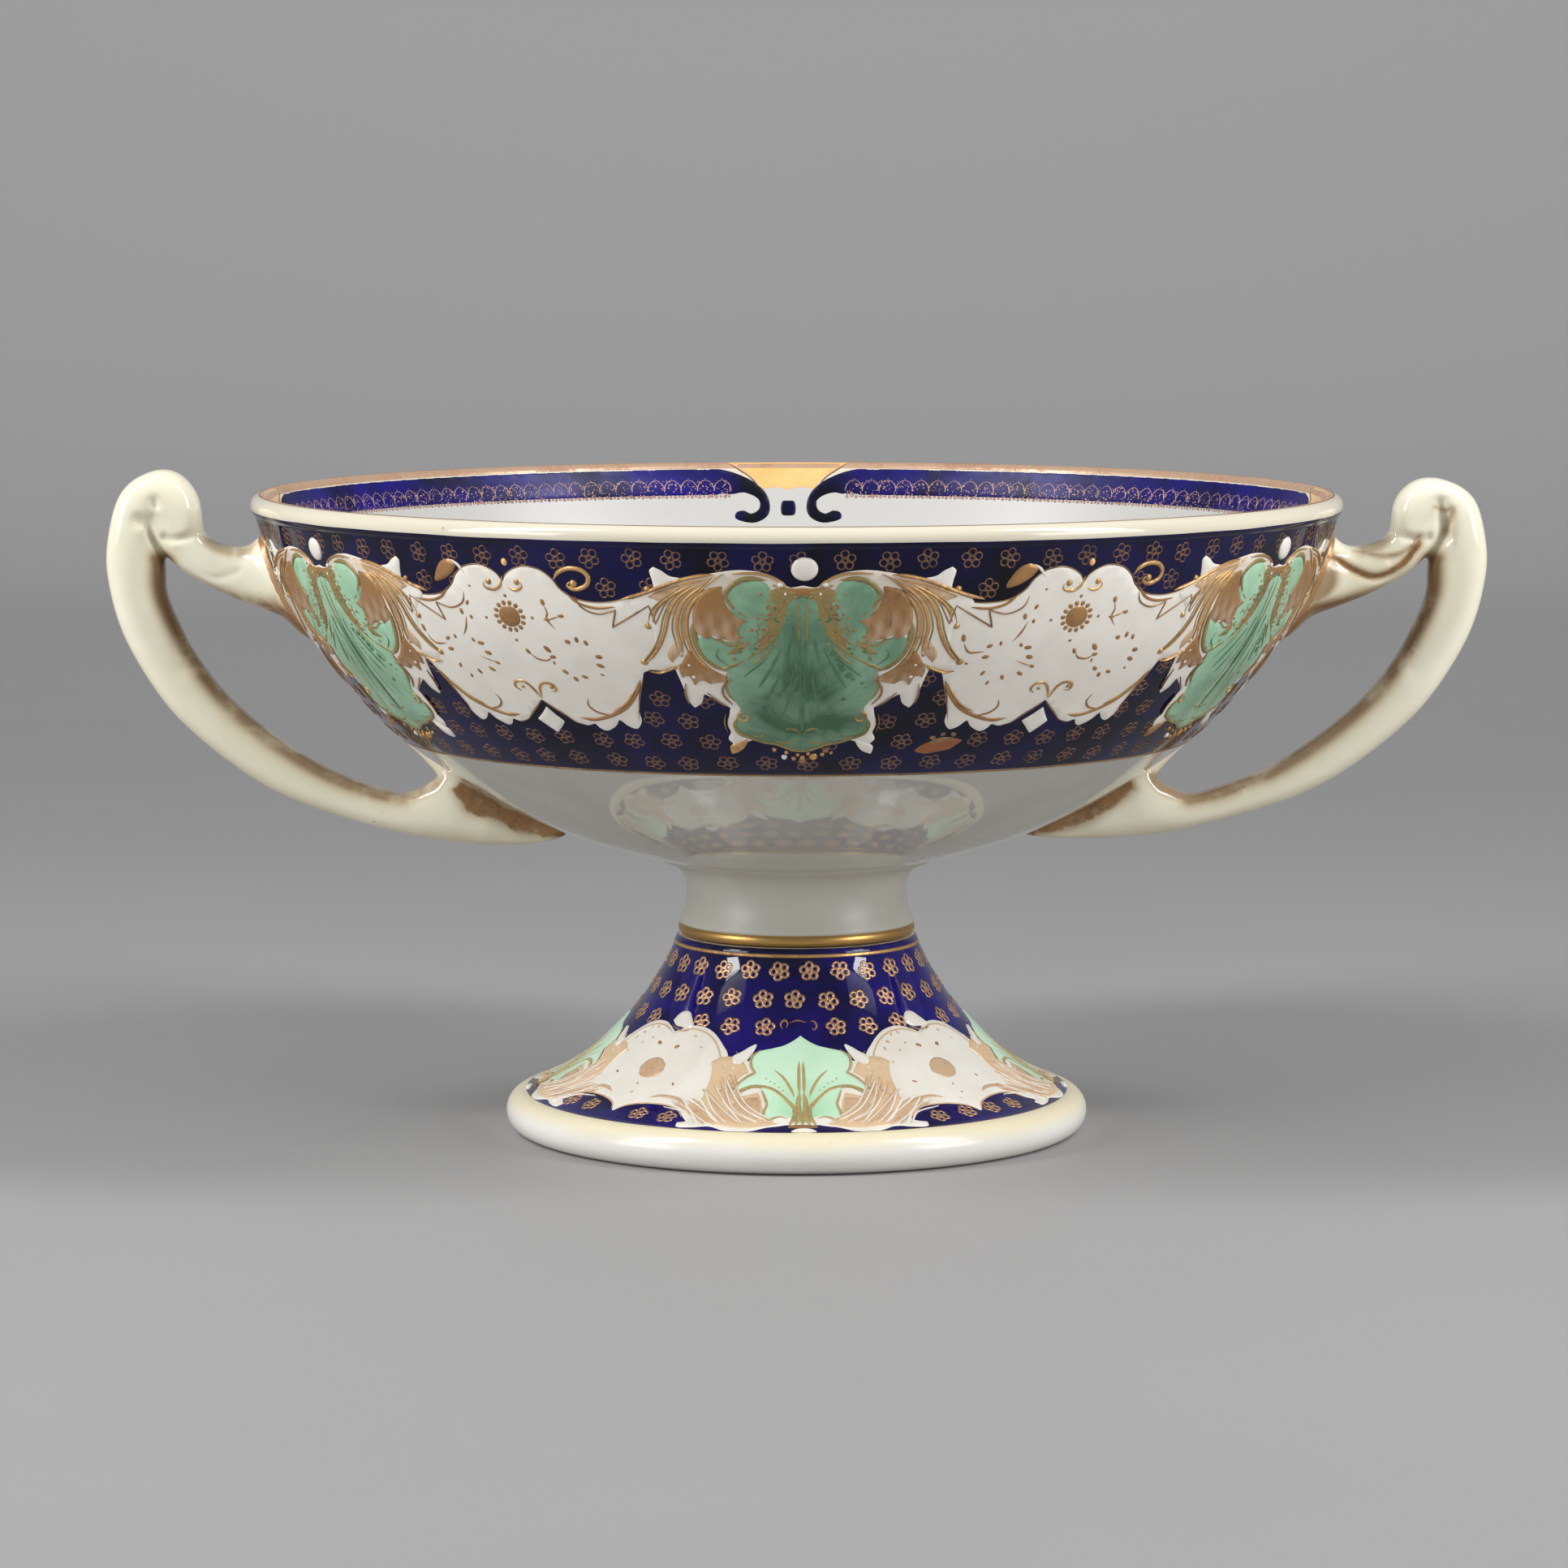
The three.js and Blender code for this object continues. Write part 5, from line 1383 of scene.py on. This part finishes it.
def handleMaterial():
    made, tree, shader, colour = glaze("cream_glaze_brushed_gold", rgb(246, 242, 222), rgb(237, 232, 206),
                                       rough=0.06, pool=28.0, specks=0.8, craze=0.12, bump=0.05,
                                       dirt=(0.24, 0.19, 0.13, 1))
    place = add(tree, "TexCoord").outputs["Object"]
    ragged = add(tree, "TexNoise", Vector=place, Scale=190.0, Detail=5.0, Roughness=0.7).outputs[0]
    streaky = add(tree, "TexNoise", Vector=place, Scale=60.0, Detail=4.0, Roughness=0.6).outputs[0]
    # the gold wash, which also carries a painted shade on the faces that look down
    soft = add(tree, "Attribute", {"attribute_name": "goldWashAndUnderShade"}).outputs["Fac"]
    thin = maths(tree, "MULTIPLY", soft, ramp(tree, streaky, 0.2, 0.55), clamp=True)
    tint = mixed(tree, thin, rgb(214, 182, 130), rgb(122, 86, 44))
    colour = mixed(tree, maths(tree, "MULTIPLY", thin, 0.95), colour, tint)
    mark = add(tree, "Attribute", {"attribute_name": "brushedGold"}).outputs["Fac"]
    edge = maths(tree, "ADD", mark, maths(tree, "MULTIPLY", maths(tree, "SUBTRACT", ragged, 0.5), 0.8))
    cover = ramp(tree, edge, 0.42, 0.6)
    gold = add(tree, "Group", {"node_tree": rubbedGold}, Bright=rgb(168, 124, 76), Rubbed=rgb(128, 92, 56),
               Wear=0.7)
    laid = maths(tree, "MULTIPLY", cover, 0.9)
    tree.links.new(mixed(tree, laid, colour, gold.outputs["Colour"]), shader.inputs["Base Color"])
    metal = maths(tree, "SUBTRACT", 0.4, maths(tree, "MULTIPLY", gold.outputs["Worn"], 0.3))
    tree.links.new(maths(tree, "MULTIPLY", cover, metal), shader.inputs["Metallic"])
    rough = add(tree, "Mix", {"data_type": "FLOAT"}, i0=cover, i2=0.07, i3=gold.outputs["Roughness"])
    tree.links.new(rough.outputs[0], shader.inputs["Roughness"])
    return made


handleGlaze = handleMaterial()
for side in ("right", "left"):
    mesh = handleMesh("handle_" + side + "_clay", side)
    paintHandle(mesh, side)
    if side == "left":
        for vertex in mesh.vertices:
            vertex.co.x, vertex.co.y = -vertex.co.x, -vertex.co.y
    mesh.materials.append(handleGlaze)
    mesh.shade_smooth()
    made = placed("handle_" + side + "_clay", mesh)
    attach(made, "root")
    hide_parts("handle_" + side)

print("tazza: inside of the bowl")

within = bowlInside
# "band", "peach" and "drop" are half outlines, as on the outside
inside = {
    "turn": 0.9, "repeats": 4,            # the first peach field stands a little off the front
    "band": [(0, 3, 1), (20, 3), (34, 2.9), (37.4, 3.2), (40.3, 5.6), (42.2, 9), (42.8, 12.6),
             (42.4, 15.4), (41, 17), (39.5, 16.8), (38.4, 15.8), (38.6, 14.2), (39.6, 13.8), (40.4, 14.6),
             (41.3, 13.6), (41.5, 11.8), (41, 10.4), (39.4, 9.3), (36.4, 9.8), (20, 9.9), (0, 9.9, 1)],
    "peach": [(0, 0.5, 1), (4, 0.5), (7.3, 0.7, 1), (6.2, 2.4), (4.8, 4.4), (3.9, 6.2), (3.3, 8.4, 1),
              (1.6, 8), (0, 8.5)],
    "peachEdge": ([(7.5, 0.6), (6.4, 2.4), (5, 4.4), (4.1, 6.2), (3.5, 8.4)], 0.45),
    "drop": [(0, 11.2), (0.75, 11.4), (0.98, 13.2), (0.8, 15), (0, 15.3)],
}
laceWork = {"fans": 37, "halfSpan": 37, "arc": (4, 45, 90, 135, 176), "dabs": 24, "seed": 14}
lipGilt = {"rows": [(-0.35, -0.05), (-0.2, 0.045), (0.6, 0.045), (1.4, 0.045), (2.1, 0.045),
                    (2.75, 0.045), (2.9, -0.05)], "root": -0.09, "line": (-0.45, 0.3)}
heaps = {name: Heap() for name in ("band", "peach", "edge", "lace", "drops", "lip")}
bandPart = enamel(within, mirrored(inside["band"]), 0.12, bevel=0.2, grid=1.1, step=0.9, sink=0.05)
peachPart = enamel(within, mirrored(inside["peach"]), 0.06, bevel=0.2, grid=1.6, sink=0.05)
dropPart = enamel(within, mirrored(inside["drop"]), 0.14, bevel=0.4, grid=0.8, sink=0.05)


def tailTone(x, y):                       # the tails of the band are nearly black
    return np.clip((np.abs(x) / 2 - 36) / 4, 0, 1)


lace = []
rand = random.Random(laceWork["seed"])
for k in range(laceWork["fans"]):         # printed lace: a ragged rosette under an arc, then a dotted edge
    at = along(-laceWork["halfSpan"], laceWork["halfSpan"], k / (laceWork["fans"] - 1))
    fan = [(at + 1.15 * math.cos(math.radians(a)), 9.6 - 3.8 * math.sin(math.radians(a)))
           for a in laceWork["arc"]]
    lace.append(stroke(within, fan, 0.28, height=0.21, taper=1.0, step=1.2))
    for i in range(laceWork["dabs"]):
        lace.append(bead(within, at + rand.uniform(-1.1, 1.1), 8.3 + rand.uniform(-2.2, 1.7),
                         rand.uniform(0.25, 0.5), 0.2, stretch=rand.uniform(1, 1.8),
                         angle=rand.uniform(0, 180), sides=6, rings=1))
    lace += beads(within, [(at, 5.4, 0.3), (at - 0.8, 10.1, 0.5), (at - 0.3, 10.2, 0.6),
                           (at + 0.25, 10.1, 0.5), (at + 0.8, 10.2, 0.6)], 0.2, sides=6, rings=1)
halfStep = 180 / inside["repeats"]        # the bands lie between the peach fields
for k in range(inside["repeats"]):
    turn = inside["turn"] + k * 360 / inside["repeats"]
    heaps["band"].lay(within, bandPart, turn + halfStep, tone=tailTone)
    heaps["peach"].lay(within, peachPart, turn)
    heaps["drops"].lay(within, dropPart, turn, tone=lambda x, y: np.ones(len(x)))
    for part in lace:
        heaps["lace"].lay(within, part, turn + halfStep)
    for flip in (False, True):
        heaps["edge"].lay(within, stroke(within, *inside["peachEdge"], height=0.14), turn, flip)
giltRing(heaps["edge"], within, *lipGilt["line"], height=0.05)
lipLoop = lipGilt["rows"] + [(s, lipGilt["root"]) for s, _ in reversed(lipGilt["rows"])]
angles = np.arange(bowl["segments"]) / bowl["segments"] * 360
lipFlat = np.array([(a * within["mmPerDegree"], s) for a in angles for s, _ in lipLoop])
lipLift = np.array([up for _ in angles for _, up in lipLoop])
heaps["lip"].lay(within, (lipFlat, lipLift, tubeFaces(bowl["segments"], len(lipLoop))), 0)
heaps["band"].piece("bowl_inner_cobalt_band", bandCobalt, "cobalt_glaze")
heaps["peach"].piece("bowl_inner_peach", peachEnamel, "cream_glaze")
heaps["drops"].piece("bowl_inner_drops", bandCobalt, "cobalt_glaze")
heaps["lace"].piece("bowl_inner_lace", laceGold, "gilding")
heaps["edge"].piece("bowl_inner_outlines", umberGold, "gilding")
heaps["lip"].piece("bowl_lip_gilding", lipGold, "gilding")

print("tazza: floor, lamps and camera")

stage = {"floor": 3.0, "bend": 0.5, "bendSteps": 12, "back": 1.9,     # metres
         "paper": (rgb(156, 156, 156), rgb(162, 161, 161)),
         "lighter": (0.5, 1.5, rgb(192, 191, 191))}  # from here to there, towards this tone


def studioSweep():
    # Floor and backdrop in one piece, with a long soft bend
    floor, bend, back, steps = [stage[k] for k in ("floor", "bend", "back", "bendSteps")]
    profile = [(-floor, 0.0), (0.0, 0.0), (back - bend, 0.0)]
    for i in range(1, steps + 1):
        t = i / steps * math.pi / 2
        profile.append((back - bend + bend * math.sin(t), bend * (1 - math.cos(t))))
    profile.append((back, floor))
    verts = [(x, y, z) for y, z in profile for x in (-floor, floor)]
    faces = [[2 * i, 2 * i + 1, 2 * i + 3, 2 * i + 2] for i in range(len(profile) - 1)]
    mesh = bpy.data.meshes.new("studio_sweep")
    mesh.from_pydata(verts, [], faces)
    mesh.shade_smooth()
    made, tree, shader = newMaterial("paper_sweep")
    place = add(tree, "TexCoord").outputs["Object"]
    fleck = add(tree, "TexNoise", Vector=place, Scale=9.0, Detail=3.0).outputs[0]
    low, high, lighter = stage["lighter"]    # the paper is painted lighter further back, as painted light that makes up for the lamps' fall-off
    fallOffFill = ramp(tree, add(tree, "SeparateXYZ", Vector=place).outputs["Y"], low, high)
    paper = mixed(tree, fallOffFill, mixed(tree, fleck, *stage["paper"]), lighter)
    tree.links.new(paper, shader.inputs["Base Color"])
    shader.inputs["Roughness"].default_value = 0.55
    mesh.materials.append(made)
    sweep = placed("studio_sweep", mesh)


studioSweep()


def lamp(name, place, target, size, watts):
    light = bpy.data.lights.new(name, "AREA")
    light.shape = "RECTANGLE"
    light.size, light.size_y = size
    light.energy = watts
    made = placed(name, light)
    made.location = place
    made.rotation_euler = (Vector(target) - Vector(place)).to_track_quat("-Z", "Y").to_euler()


# Two tall boxes over the sides of the table, and two broad ones lower in front. The left ones are stronger
sideBox = {"out": 0.84, "front": -0.38, "up": 0.9, "aim": (0, 0, 0.06), "size": (0.24, 0.72)}
frontBox = {"out": 1.75, "front": -0.95, "up": 0.5, "aim": (0, 0, 0.1), "size": (0.9, 0.8)}
for name, box, side, watts in (("side_box_left", sideBox, -1, 9.6), ("side_box_right", sideBox, 1, 9.2),
                               ("front_box_left", frontBox, -1, 12.5), ("front_box_right", frontBox, 1, 12)):
    lamp(name, (side * box["out"], box["front"], box["up"]), box["aim"], box["size"], watts)

world = bpy.data.worlds.new("studio_air")
world.use_nodes = True
background = world.node_tree.nodes["Background"]
background.inputs["Color"].default_value = (0.9, 0.92, 0.95, 1)
background.inputs["Strength"].default_value = 0.32
bpy.context.scene.world = world
bpy.context.scene.view_settings.view_transform = "Standard"

view = {"place": (-0.0029, -1.3, 0.226), "down": 6.41, "lens": 130.0}
camera = placed("camera", bpy.data.cameras.new("camera"))
camera.location = view["place"]
camera.rotation_euler = (math.radians(90 - view["down"]), 0, 0)
camera.data.lens = view["lens"]
camera.data.sensor_width = 36.0
bpy.context.scene.camera = camera
